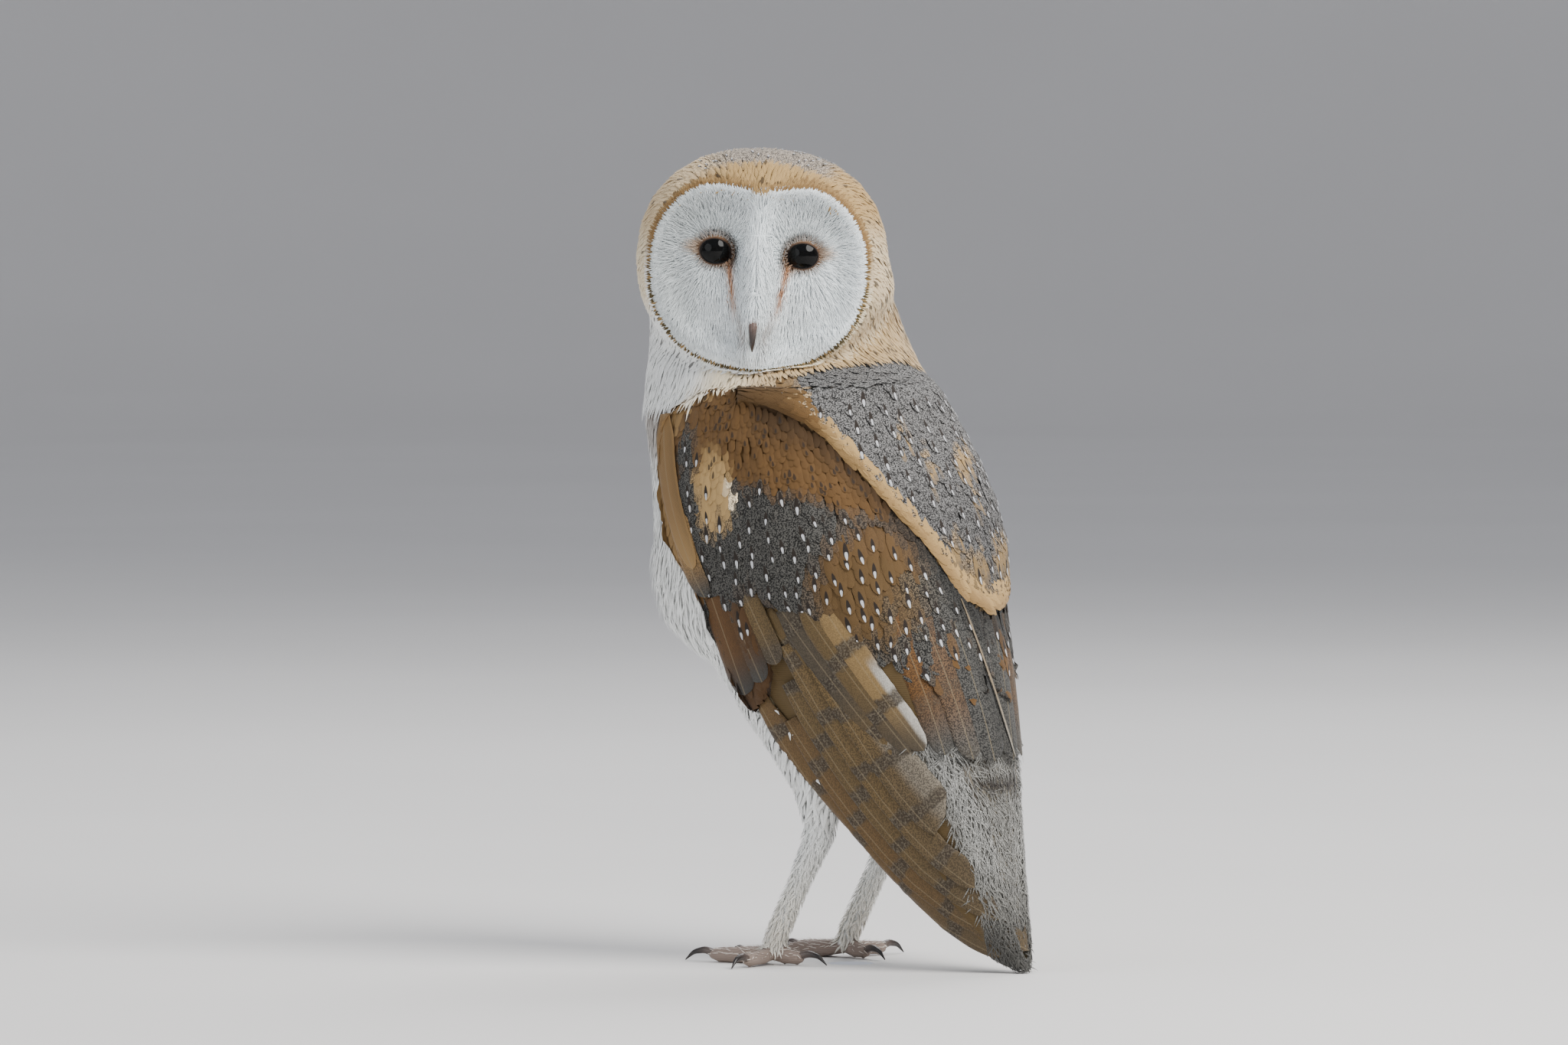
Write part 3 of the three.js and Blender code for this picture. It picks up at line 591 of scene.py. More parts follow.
def face_colours(points):
    """White disc, grey over the eyes, tan lids and streaks beside the bill."""
    side, up, _ = in_head(points).T
    aside = np.abs(side)

    def oval(*spot, edge=0.6):
        return near_blob(aside, up, spot, edge)

    away = from_lids(aside, up)
    corners = np.maximum(oval(26.5, 8.0, 4.2, 2.6), 0.8 * oval(14, 3.0, 3.0, 4.0))
    tan = np.clip(0.3 * (1 - ramp(away, 6.8, 8.8)) + 0.7 * corners, 0, 0.75)
    rim = 7.6 + 0.7 * ramp(up - EYE_UP, 0, 5)
    streak = bell(aside - (12.4 + 0.17 * (up + 2)), 1.25) * ramp(up, -19, -9) * (1 - ramp(up, 1, 5))
    beside_bill = bell(aside - 4.2 - 0.22 * (up + 30), 1.5) * bell(up + 20, 10)
    brow = bell(away - 8.4, 0.8) * ramp(up, 8, 12)
    return painted(
        FACE_WHITE, (rgb(178, 184, 184), 0.45 * oval(19, 19, 13, 9)),
        # painted shade: the left side of the disc is greyed, as if the light came from the right
        (rgb(168, 174, 172), 0.55 * ramp(-side, 10, 36)), (TAN, tan),
        (LID_BROWN, 0.6 * (1 - ramp(away - rim, -1.0, 0))), (LID_BROWN, 0.5 * oval(11.4, 5.5, 1.6, 4.5)),
        (rgb(186, 122, 66), 0.9 * streak), (mixed(ORANGE, BUFF, 0.7), oval(0, 37.5, 3.6, 5.5, edge=0.4)),
        (BROWN, 0.55 * brow), (rgb(150, 128, 116), 0.55 * beside_bill)), 0


def body_colours(points):
    """White under side, with a buff wash at the shoulder."""
    wash = near_blob(np.abs(points[:, 0]), points[:, 2], (47, 238, 16, 16), 0.5)
    return mixed(WHITE, GOLD, 0.6 * wash * (points[:, 1] < 0)), 0


def flight_colours(points):
    """Ochre strips toward the leading edge of the quills, pale inner vanes."""
    inset = across_view(points, np.where(points[:, 0] < 0, -1, 1)) - column(DOWN_EDGE, 0, 1, points[:, 2])
    colour = mixed(OLIVE, DOWN_GREY * 0.75, ramp(inset, -3, 4) * (points[:, 2] < 100))
    # painted shade of the cape's shadow on the quills
    return colour * painted_cape_shade(points), 0


def skin_colours(nodes):
    """Colour and vermiculation of the skin's points, from the node that each belongs to."""
    points = OUTER.points
    colour = np.repeat(WHITE[None, :], len(points), axis=0)
    grain = np.zeros(len(points))
    makers = {
        "head": head_colours, "facial_disc": face_colours, "neck": neck_colours,
        "trunk": body_colours, "mantle": back_colours, "toe": lambda _: (TOE, 0),
        "secondaries": flight_colours, "primaries": flight_colours, "tail": flight_colours,
        "wing_coverts_left": lambda p: wing_colours(p, 1),
        "wing_coverts_right": lambda p: wing_colours(p, -1),
    }
    for start, maker in makers.items():
        chosen = among(nodes, start)
        colour[chosen], grain[chosen] = maker(points[chosen])
    inner = inward_facing(points, OUTER.normals)
    white = inner & among(nodes, "wing_")
    colour[white], grain[white] = WHITE, 0
    colour[inner & among(nodes, "primaries", "secondaries")] = PALE_BUFF
    return colour, grain


# ---------------------------------------------------------------- materials
class Shader:
    """Short notation for the nodes of one material."""

    def __init__(self, name, roughness, specular):
        self.material = bpy.data.materials.new(name)
        self.material.use_nodes = True
        self.tree = self.material.node_tree
        self.surface = self.tree.nodes["Principled BSDF"]
        self.surface.inputs["Roughness"].default_value = roughness
        self.surface.inputs["Specular IOR Level"].default_value = specular
        self.place = self.node("ShaderNodeTexCoord").outputs["Object"]

    def node(self, kind, values=(), **settings):
        made = self.tree.nodes.new(kind)
        for key, value in settings.items():
            setattr(made, key, value)
        for socket, value in zip(made.inputs, values):
            self.feed(socket, value)
        return made

    def feed(self, socket, value):
        if isinstance(value, bpy.types.NodeSocket):
            self.tree.links.new(value, socket)
        elif value is not None:
            socket.default_value = value

    def math(self, operation, *values):
        return self.node("ShaderNodeMath", values, operation=operation).outputs[0]

    def product(self, first, second):
        return self.math("MULTIPLY", first, second)

    def times(self, colour, factor):
        made = self.node("ShaderNodeVectorMath", (colour,), operation="SCALE")
        self.feed(made.inputs["Scale"], factor)
        return made.outputs[0]

    def mix(self, share, first, second):
        """Two colours mixed; a constant one is given as red, green, blue."""
        made = self.node("ShaderNodeMix", data_type="RGBA")
        for i, value in ((0, share), (6, first), (7, second)):
            self.feed(made.inputs[i], (*value, 1) if isinstance(value, (tuple, np.ndarray)) else value)
        return made.outputs[2]

    def between(self, value, low, high, start=0.0, end=1.0):
        return self.node("ShaderNodeMapRange", (value, low, high, start, end),
                         interpolation_type="SMOOTHSTEP").outputs[0]

    def noise(self, size, detail=2.0):
        return self.node("ShaderNodeTexNoise", (self.place, None, 1 / (size * MM), detail)).outputs["Fac"]

    def parts(self, attribute, colour=False):
        made = self.node("ShaderNodeAttribute", attribute_name=attribute)
        kind = "ShaderNodeSeparateColor" if colour else "ShaderNodeSeparateXYZ"
        return self.node(kind, (made.outputs["Color" if colour else "Vector"],)).outputs

    def teardrop(self, aside, to_tip, half_width, middle, half_length, point):
        """1 inside a drop on a feather, 0 outside; a point above 0 is toward the root."""
        y = self.math("DIVIDE", self.math("SUBTRACT", to_tip, middle), half_length)
        taper = self.math("MAXIMUM", self.math("MULTIPLY_ADD", y, point, 1.0), 0.2)
        x = self.product(self.math("DIVIDE", aside, half_width), taper)
        return self.between(self.math("ADD", self.product(x, x), self.product(y, y)), 1.35, 0.75)

    def bump(self, height, strength, distance):
        made = self.node("ShaderNodeBump", (strength, distance * MM))
        self.feed(made.inputs["Height"], height)
        self.feed(self.surface.inputs["Normal"], made.outputs[0])

    def finish(self, colour):
        self.feed(self.surface.inputs["Base Color"], colour)
        return self.material


BAR_SPACING, BARB_SPACING = 29.0, 0.85
DROP, DOT = 1.0, 0.5  # what a feather's mark says when it carries them
# Half width, distance from the feather's tip, half length, and how far they narrow to the root.
BLACK_DROP, WHITE_DROP, DARK_DOT = (0.95, 4.0, 2.8, 0.4), (0.55, 1.7, 1.5, -0.4), (0.6, 2.0, 1.5, 0.4)


def plumage(name, roughness, sheen, shaft=0.0, barbs=0.07):
    """Feathers: tint, vermiculation, drops at the tips, bars and the fine lines of the barbs."""
    s = Shader(name, roughness, 0.25)
    s.surface.inputs["Sheen Weight"].default_value = sheen
    s.surface.inputs["Sheen Roughness"].default_value = 0.5
    tint = s.node("ShaderNodeAttribute", attribute_name="tint").outputs["Color"]
    along, aside, to_tip = s.parts("vane")
    drop, grain, bars = s.parts("mark", colour=True)[:3]
    fleck = s.between(s.noise(0.62, 2.5), 0.42, 0.58)
    broad = s.noise(3.2)
    colour = s.mix(grain, tint, s.times(tint, s.between(fleck, 0, 1, 0.2, 1.95)))
    wander = s.product(s.math("SUBTRACT", broad, 0.5), 5.0)
    phase = s.math("DIVIDE", s.math("ADD", along, wander), BAR_SPACING)
    wave = s.math("ABSOLUTE", s.math("SUBTRACT", s.math("FRACT", phase), 0.5))
    blotch = s.between(s.noise(0.8, 3.0), 0.44, 0.66)
    speckled = s.mix(blotch, rgb(50, 42, 33), rgb(98, 90, 76))
    colour = s.mix(s.product(s.between(wave, 0.34, 0.42), bars), colour, speckled)
    is_drop = s.between(drop, 0.7, 0.8)
    is_dot = s.product(s.between(drop, 0.3, 0.4), s.math("SUBTRACT", 1.0, is_drop))
    black = s.product(is_drop, s.teardrop(aside, to_tip, *BLACK_DROP))
    dot = s.product(is_dot, s.teardrop(aside, to_tip, *DARK_DOT))
    colour = s.mix(s.math("MAXIMUM", black, s.product(dot, 0.8)), colour, DARK * 0.7)
    white = s.product(is_drop, s.teardrop(aside, to_tip, *WHITE_DROP))
    colour = s.mix(white, colour, rgb(196, 197, 200))
    far = s.math("ABSOLUTE", aside)
    slant = s.math("ADD", along, s.product(far, 1.3))
    line = s.math("SINE", s.product(slant, 2 * math.pi / BARB_SPACING))
    colour = s.times(colour, s.math("MULTIPLY_ADD", line, barbs, 1.0))
    if shaft:
        colour = s.mix(s.product(s.between(far, 0.32, 0.18), shaft), colour, PALE_BUFF)
    s.bump(s.math("ADD", s.product(line, 0.35), broad), 0.35, 0.25)
    return s.finish(colour)


def eye_material():
    s = Shader("eye", 0.05, 0.16)
    iris = s.product(s.between(s.parts("vane")[0], 5.2, 6.2), s.between(s.noise(0.6), 0.3, 0.7, 0.6, 1.0))
    return s.finish(s.mix(iris, (0.003, 0.003, 0.003), (0.008, 0.006, 0.005)))


def horn_material(name, pale, dark, low, high):
    """Horn that darkens along its length, with fine lengthwise lines."""
    s = Shader(name, 0.35, 0.5)
    lines = s.noise(0.5)
    colour = s.mix(s.between(s.parts("vane")[0], low, high), pale, dark)
    s.bump(lines, 0.25, 0.08)
    return s.finish(s.times(colour, s.between(lines, 0.3, 0.7, 0.8, 1.15)))


WHITE_DOWN = plumage("white_down", 0.85, 0.35, barbs=0.05)
CONTOUR = plumage("contour_feathers", 0.8, 0.1)
QUILLS = plumage("flight_feathers", 0.65, 0.08, shaft=0.3, barbs=0.10)
SKIN_MATERIAL = plumage("skin_under_feathers", 0.85, 0.1, barbs=0.05)
EYE_MATERIAL = eye_material()
BILL_MATERIAL = horn_material("bill", rgb(118, 98, 90), rgb(52, 42, 38), 13, 22)
CLAW_MATERIAL = horn_material("claws", rgb(92, 80, 74), rgb(34, 29, 28), 0, 9)


# ---------------------------------------------------------------- meshes with attributes
def make_mesh(name, material, slot, points, faces, vane, tint=None, mark=None, patches=None,
              normals=None, replaces=()):
    """An object from points in the bird's frame, four-sided faces and what its shader reads."""
    mesh = bpy.data.meshes.new(name)
    mesh.vertices.add(len(points))
    mesh.vertices.foreach_set("co", ((points + SHIFT) * MM).ravel())
    mesh.loops.add(faces.size)
    mesh.loops.foreach_set("vertex_index", faces.ravel())
    mesh.polygons.add(len(faces))
    mesh.polygons.foreach_set("loop_start", np.arange(0, faces.size, 4))
    mesh.polygons.foreach_set("loop_total", np.full(len(faces), 4))
    mesh.update(calc_edges=True)
    mesh.polygons.foreach_set("use_smooth", np.ones(len(faces), dtype=bool))
    for key, values in (("tint", tint), ("vane", vane), ("mark", mark)):
        if key == "vane":
            mesh.attributes.new(key, "FLOAT_VECTOR", "POINT").data.foreach_set("vector", values.ravel())
        elif values is not None:
            opaque = np.concatenate([values, np.ones((len(points), 1))], axis=1)
            mesh.attributes.new(key, "FLOAT_COLOR", "POINT").data.foreach_set("color", opaque.ravel())
    if patches is not None:
        layer = mesh.uv_layers.new(name="OFBake")
        layer.data.foreach_set("uv", patches[faces.ravel()].ravel())
    if normals is not None:
        mesh.normals_split_custom_set_from_vertices(normals.tolist())
    made = new_object(name, mesh)
    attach(made, "root")
    made.data.materials.append(material)
    if replaces:
        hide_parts(*replaces)
    return made


def plain_vane(height, count):
    """Vane places that keep drops, bars and shafts off; height shifts the lines of the barbs."""
    return stacked(height, np.full(count, 9), 30)


def build_skin():
    """The skin under the coat, and the UV place of each of its faces."""
    nodes = nearest_node(OUTER.points)
    depth = np.zeros(len(nodes))
    for start, value in COAT_DEPTH.items():
        depth[among(nodes, start)] = value
    points = smoothed(OUTER.points - OUTER.normals * depth[:, None], QUADS, 1)
    colour, grain = skin_colours(nodes)
    skin = make_mesh("skin", SKIN_MATERIAL, "white_plumage", points, QUADS,
                     plain_vane(points[:, 2], len(points)), colour * 0.92, stacked(0, grain, 0),
                     replaces=FLESH)
    bpy.context.view_layer.objects.active = skin
    skin.select_set(True)
    bpy.ops.object.mode_set(mode="EDIT")
    bpy.ops.mesh.select_all(action="SELECT")
    bpy.ops.uv.smart_project(angle_limit=math.radians(66), island_margin=0.001)
    bpy.ops.object.mode_set(mode="OBJECT")
    unwrap = skin.data.uv_layers[0]
    unwrap.name = "OFBake"
    return read(unwrap.data, "uv", 2).reshape(-1, 4, 2).mean(axis=1)


UNWRAP = build_skin()

# ---------------------------------------------------------------- feathers
# Outlines of the kinds of feather: share of the length, share of the width.
OUTLINES = {
    "vane": [(0, 0.5), (0.3, 0.95), (0.6, 1), (0.82, 0.86), (0.94, 0.5), (1, 0.08)],
    "tuft": [(0, 0.6), (0.35, 1), (0.7, 0.7), (1, 0.06)],
    "hair": [(0, 0.9), (0.5, 1), (1, 0.15)],
}
COLUMNS = 3
PATCH = 0.003  # size of a feather's place in the UV map
FEATHER_MATERIAL = {"white_plumage": WHITE_DOWN, "toe_skin": WHITE_DOWN,
                    "golden_plumage": CONTOUR, "grey_plumage": CONTOUR}


def scattered(faces, spacing, first=None):
    """Places spread evenly over the chosen faces, at least a spacing apart, after the first."""
    chosen = np.flatnonzero(faces)
    spacing = np.broadcast_to(spacing, len(QUADS))
    weight = OUTER.areas[chosen] / spacing[chosen] ** 2
    count = int(weight.sum() * 5)
    picked = random.choice(chosen, count, p=weight / weight.sum())
    u, v = random.random((2, count, 1))
    a, b, c, d = (OUTER.points[QUADS[picked, i]] for i in range(4))
    places = (a * (1 - u) + b * u) * (1 - v) + (d * (1 - u) + c * u) * v
    if first is not None:
        picked = np.concatenate([OUTER.nearest(first)[2], picked])
        places = np.concatenate([first, places])
    tree = KDTree(len(places))
    for i, place in enumerate(places):
        tree.insert(place, i)
    tree.balance()
    free = np.ones(len(places), dtype=bool)
    kept = []
    for i, place in enumerate(places):
        if free[i]:
            kept.append(i)
            free[[j for _, j, _ in tree.find_range(place, spacing[picked[i]])]] = False
    return places[kept], picked[kept]


def lay(name, slot, places, flow, length, width, tint, drop=0.0, grain=0.0, outline="tuft",
        lift=(-0.9, 0.3), camber=0.25, tips=None, fan=7.0, tilt=0.3, small=1.0, on=OUTER):
    """One joined mesh of feathers along the surface; lift is the height of root and tip."""
    shape = np.array(OUTLINES[outline])
    count, rows = len(places), len(shape)
    _, normals, faces = on.nearest(places)
    flow = unit(flow - normals * (flow * normals).sum(axis=1, keepdims=True))
    swing = np.radians(random.normal(0, fan, (count, 1)))
    heading = flow * np.cos(swing) + np.cross(normals, flow) * np.sin(swing)
    length = np.broadcast_to(length, count) * random.uniform(0.85, 1.12, count)
    width = np.broadcast_to(width, count) * random.uniform(0.9, 1.1, count)
    low, high = (np.broadcast_to(value, count) for value in lift)
    high = high + random.uniform(-0.1, 0.1, count)
    centres, ups = np.empty((2, count, rows, 3))
    spot, last_up, last_along = places, normals, 0
    for row, along in enumerate(shape[:, 0]):
        run = (length * (along - last_along))[:, None]
        ahead = spot + heading * run
        found, up, _ = on.nearest(ahead)
        fall = ((found - ahead) * up).sum(axis=1, keepdims=True)
        spot = ahead + up * np.clip(fall, -0.6 * run - 0.2, 0.6 * run + 0.2)
        last_up = ups[:, row] = unit(up + last_up)
        heading = unit(heading - up * (heading * up).sum(axis=1, keepdims=True))
        last_along = along
        height = low + (high - low) * along ** 0.7
        centres[:, row] = spot + last_up * height[:, None]
    across = unit(np.cross(ups, np.gradient(centres, axis=1)))[:, :, None]
    ups = ups[:, :, None]
    spread = np.linspace(-1, 1, COLUMNS)
    half = width[:, None] / 2 * shape[:, 1]
    half = (half * random.uniform(0.92, 1.08, half.shape))[:, :, None]
    points = (centres[:, :, None] + across * (half * spread)[..., None]
              - ups * (camber * half * spread ** 2)[..., None])
    start = np.arange(count)[:, None, None] * rows * COLUMNS
    base = start + np.arange(rows - 1)[:, None] * COLUMNS + np.arange(COLUMNS - 1)
    quads = np.stack([base, base + COLUMNS, base + COLUMNS + 1, base + 1], axis=-1)
    full = length[:, None, None]
    along = shape[:, :1] * full
    small = np.broadcast_to(small, count)[:, None, None]  # how many times smaller its marks are
    vane = stacked(along, half * spread * small, (full - along) * small)
    shades = np.repeat(np.broadcast_to(tint, (count, 3))[:, None], rows, axis=1)
    if tips is not None:
        tip_colour = np.broadcast_to(tips[0], (count, 3))[:, None]
        tip_share = np.broadcast_to(tips[1], count)[:, None]
        shades = mixed(shades, tip_colour, (shape[:, 0] > 0.75) * tip_share)
    shades = shades * random.uniform(0.95, 1.04, (count, 1, 1))
    mark = np.repeat(stacked(drop, grain, np.zeros(count)), rows * COLUMNS, axis=0)
    patches = (UNWRAP[on.index[faces]][:, None, None]
               + stacked(spread * PATCH / 2, (shape[:, :1] - 0.5) * PATCH))
    shading = unit(ups + tilt * across * spread[:, None])
    make_mesh(name, FEATHER_MATERIAL[slot], slot, points.reshape(-1, 3), quads.reshape(-1, 4),
              vane.reshape(-1, 3), np.repeat(shades.reshape(-1, 3), COLUMNS, axis=0), mark,
              np.clip(patches, 0, 1).reshape(-1, 2), shading.reshape(-1, 3))


# ---------------------------------------------------------------- the tracts of the coat
# Of each face of the outer surface: whether it turns inward, its height, whether it is grey neck.
INWARD = inward_facing(CENTRES, OUTER.face_normals)
HEIGHT = CENTRES[:, 2]
GREY_NECK = (faces_of("neck", "trunk", "wing_coverts") & (over_shoulder_line(CENTRES) < 5)
             & (HEIGHT > 246) & (np.abs(body_turn(CENTRES)) < GREY_REACH - 2))


def head_coat():
    side, up, depth = in_head(CENTRES).T
    front = (disc_share(side, up) < 0.97) & (np.abs(depth - face_height(side, up)) < 3)
    places, _ = scattered(faces_of("head") & ~front, 1.6)
    colour, grain = head_colours(places)
    side, _, depth = in_head(places).T
    back = ramp(-depth, -2, 30)
    flow = -HEAD_AXES[2] * (1.0 - 0.35 * back)[:, None] - UPWARD * (0.15 + back)[:, None]
    speck = random.random(len(places))
    crown = grain > 0.35
    often = 0.03 + 0.06 * ramp(side, 20, 40)
    drop = np.where(crown & (speck < 0.12), DROP, np.where(~crown & (speck < often), DOT, 0.0))
    lay("coat_head", "golden_plumage", places, flow, 6.0, 1.9, colour, drop, grain,
        lift=(-1.0, 0.2 + 0.3 * drop), small=np.where(drop == DROP, 2.1, 0.85))


def face_coat():
    """Hair-like feathers that run out from the eyes and down beside the bill."""
    side, up, _ = in_head(CENTRES).T
    clear = from_lids(np.abs(side), up) > LID_RADIUS + 0.3
    bill = (np.abs(side) < 2.4) & (up < -25) & (up > -35)
    places, _ = scattered(faces_of("facial_disc") & clear & ~bill, 0.62)
    side, up, depth = in_head(places).T
    sign = np.where(side > 0, 1, -1)
    away = unit(stacked(side - sign * EYE_SIDE, up - EYE_UP))
    middle = stacked(0.12 * sign, np.where(up > 16, 1.0, -1.0))
    weight = ramp(np.abs(side), 3, 10)[:, None]
    flow = unit(away * weight + middle * (1 - weight)) @ HEAD_AXES[:2]
    from_eye = np.hypot(np.abs(side) - EYE_SIDE, up - EYE_UP)
    length = (3.4 + 4.6 * ramp(from_eye, 8, 26)) * (1 - 0.5 * ramp(disc_share(side, up), 0.8, 1))
    turn = np.arctan2(up - EYE_UP, np.abs(side) - EYE_SIDE)
    over_ball = np.where(from_eye < 8.2, np.clip(ball_depth(from_eye, 0) + 0.9 - depth, 0, 3), 0)
    streak = wavy(stacked(turn * 9, from_eye * 0.22, 30 * sign), 1.0)
    colour = face_colours(places)[0] * (1.0 + 0.16 * streak)[:, None]
    colour = colour * random.uniform(0.84, 1.05, (len(places), 1))
    nose = bell(side, 4.5) * (1 - ramp(up, -12, 10)) * ramp(up, -30, -24)
    lay("coat_face", "white_plumage", places, flow, length, 0.5, colour, outline="hair", fan=12,
        tilt=0.5, lift=(over_ball - 0.7, random.uniform(0.3, 0.9, len(places)) + 1.3 * nose
                        + 0.7 * np.clip(streak, -0.3, 1) * ramp(from_eye, 9, 14)))


def rim_coat():
    """The ruff: rows of short dense feathers round the outline, dark-tipped below."""
    rows = [  # share of the outline, number, length, width, lift, fan, colour above, colour below
        (0.93, 420, 4.2, 1.0, 0.9, 16, FACE_WHITE, FACE_WHITE),
        (0.965, 460, 2.6, 0.9, 1.3, 16, FACE_WHITE, FACE_WHITE),
        (0.99, 440, 3.0, 1.0, 2.1, 9, mixed(ORANGE, BUFF, 0.3), rgb(80, 68, 38)),
        (1.025, 420, 3.8, 1.4, 1.7, 9, mixed(ORANGE, BUFF, 0.6), CREAM),
    ]
    for number, (share, count, length, width, lift, fan, above, below) in enumerate(rows):
        turns = (np.arange(count) + random.uniform(-0.3, 0.3, count)) * 2 * math.pi / count
        side, up = rim_places(turns, share)
        places = from_head(stacked(side, up, face_height(side, up)))
        out = unit(stacked(side / DISC_HALF, up / DISC_UP))
        flow = out @ HEAD_AXES[:2] - HEAD_AXES[2] * 0.25 * number
        low = 1 - ramp(up, -12, 14)
        olive = (number == 2) * (random.random(count) < 0.3) * low
        colour = painted(above, (below, low), (BUFF, 0.6 * olive))
        if number < 2:
            colour = face_colours(places)[0] * random.uniform(0.86, 1.02, (count, 1))
        if number == 3:
            colour = mixed(colour, WHITE, low * ramp(-side, -22, 12))
        else:
            wedge = (1 - ramp(np.abs(side), 2.2, 4.5)) * (up > 0)
            colour = mixed(colour, mixed(ORANGE, BUFF, 0.7), wedge)
        tip = (number == 3) * (random.random(count) < 0.3) * (1 - low)
        lay(f"coat_rim_{number + 1}", "golden_plumage", places, flow, length, width, colour,
            lift=(-0.5, lift), tips=(BROWN * 0.6, tip), fan=fan)


def specks(colour):
    """Dark dots on one feather in ten where the coat is buff."""
    return np.where((colour[:, 2] < CREAM[2]) & (random.random(len(colour)) < 0.1), DOT, 0.0)


def neck_coat():
    places, _ = scattered(faces_of("neck") & ~GREY_NECK, 1.35)
    colour, grain = neck_colours(places)
    drop = specks(colour)
    lay("coat_neck", "white_plumage", places, 0.25 * from_neck(places) - UPWARD, 8.5, 1.7, colour,
        drop, grain, lift=(-1.0, 0.2 + 0.3 * drop))


def collar_coat():
    """Long soft feathers that hang from the neck over the shoulders."""
    near = faces_of("neck", "trunk", "mantle", "wing_coverts")
    shoulders = part_of(near & (HEIGHT > 225) & (OUTER.face_normals[:, 2] > -0.5))
    over = over_shoulder_line(CENTRES)
    back = np.abs(body_turn(CENTRES)) < GREY_REACH
    near &= np.where(back, (over > 4.5) & (over < 13), np.abs(HEIGHT - 256) < 8)
    places, _ = scattered(near & (in_head(CENTRES)[:, 2] < -3), 1.35)
    colour, _ = neck_colours(places)
    white = ramp(colour[:, 2], CREAM[2], WHITE[2])
    front = ramp(np.abs(body_turn(places)), 60, 72)
    lay("coat_collar", "white_plumage", places, 0.35 * from_neck(places) - UPWARD,
        8 + 7 * np.maximum(white, front), 1.7, colour, specks(colour), lift=(-0.6, 0.5 + 0.8 * white),
        fan=9, on=shoulders)


def body_coat():
    """White under side, and ragged locks that hang clear of it in front of the folded wings."""
    under = part_of(faces_of("trunk", "neck", "thigh"))
    places, _ = scattered(faces_of("trunk"), 1.8)
    places = places[~through_wing(places + [0.0, 2, -13])]
    low = 1 - ramp(places[:, 2], 120, 180)
    lay("coat_body", "white_plumage", places, [0.0, 0.15, -1.0], 10 + 6 * low, 1.9,
        body_colours(places)[0], lift=(-1.2, 0.25 + 0.8 * low), fan=9, on=under)
    edge = np.abs(CENTRES[:, 0]) - column(MANTLE, 0, 1, HEIGHT)
    band = (HEIGHT > 124) & (HEIGHT < 184) & (CENTRES[:, 1] < -40) & (edge > -40)
    places, _ = scattered(faces_of("trunk") & band, 1.6)
    places = places[~through_wing(places + [0.0, 0, -13])]
    lay("coat_fluff", "white_plumage", places, [0.0, -0.05, -1.0], 13, 1.2, WHITE,
        lift=(-0.5, random.uniform(0.3, 3.5, len(places))), fan=13, on=under)


def leg_coat():
    tarsus = faces_of("tarsus")
    places, faces = scattered(faces_of("thigh", "tarsus"), np.where(tarsus, 1.2, 1.8))
    clear = ~through_wing(places + [0.0, -2, -8])
    places, shank = places[clear], tarsus[faces[clear]]
    colour = mixed(WHITE, CREAM, 0.4 * (1 - ramp(places[:, 2], 10, 60)))
    colour = colour * random.uniform(0.82, 1.03, (len(places), 1))
    lay("coat_legs", "white_plumage", places, [0.0, -0.25, -1.0], np.where(shank, 4.5, 9.0),
        np.where(shank, 0.9, 1.8), colour, lift=(-0.8, np.where(shank, 0.8, 1.3)), fan=14)


def toe_bristles():
    places, _ = scattered(faces_of("toe") & (OUTER.face_normals[:, 2] > 0.1), 1.7)
    ankle = ANKLE * stacked(np.where(places[:, 0] > 0, 1, -1), 1, 1)
    lay("coat_toes", "toe_skin", places, unit((places - ankle) * [1, 1, 0]), 2.8, 0.35,
        rgb(214, 204, 194), outline="hair", lift=(-0.3, 0.7), fan=14)


def staggered(across, height, stagger, scatter):
    """Places of a lattice, a little out of line, with every other column higher."""
    across, height = np.meshgrid(across, height)
    height = height + stagger * (np.arange(across.shape[1]) % 2)
    height = height + random.normal(0, 0.9, height.shape)
    return (across + random.normal(0, scatter, across.shape)).ravel(), height.ravel()


def back_coat():
    """Vanes of the cape, with dark and white drops in columns."""
    upper = faces_of("mantle") & ~INWARD | GREY_NECK
    turns, heights = staggered(np.arange(-122, 72, 7.5), np.arange(150, 262, 9.0), 4.5, 0.8)
    lattice = section_point(np.radians(turns), heights, -CAPE_LIFT)
    kept = (heights - cape_edge(turns) > 17) & (random.random(len(turns)) > 0.1)
    lattice, _, at = OUTER.nearest(lattice[kept & (over_shoulder_line(lattice) < -2)])
    lattice = lattice[upper[at]]
    places, _ = scattered(upper & (HEIGHT - cape_edge(body_turn(CENTRES)) > 9), 3.0, lattice)
    drop = np.where(np.arange(len(places)) < len(lattice), DROP, 0.0)
    colour, grain = back_colours(places)
    turn = body_turn(places)
    flow = unit(section_point(np.radians(turn), places[:, 2] - 4, 0)
                - section_point(np.radians(turn), places[:, 2] + 4, 0))
    length = np.clip(places[:, 2] - cape_edge(turn) - 5.5, 3.5, 12)
    tips, _ = back_colours(places + flow * length[:, None] * 0.8)
    lay("coat_back", "grey_plumage", places, flow, length, 5.0, colour, drop, grain, "vane",
        lift=(-1.0 + 0.8 * drop, 0.1 + 0.3 * drop), tips=(tips, 0.6), fan=4,
        small=random.uniform(0.85, 1.2, len(places)), on=part_of(upper))


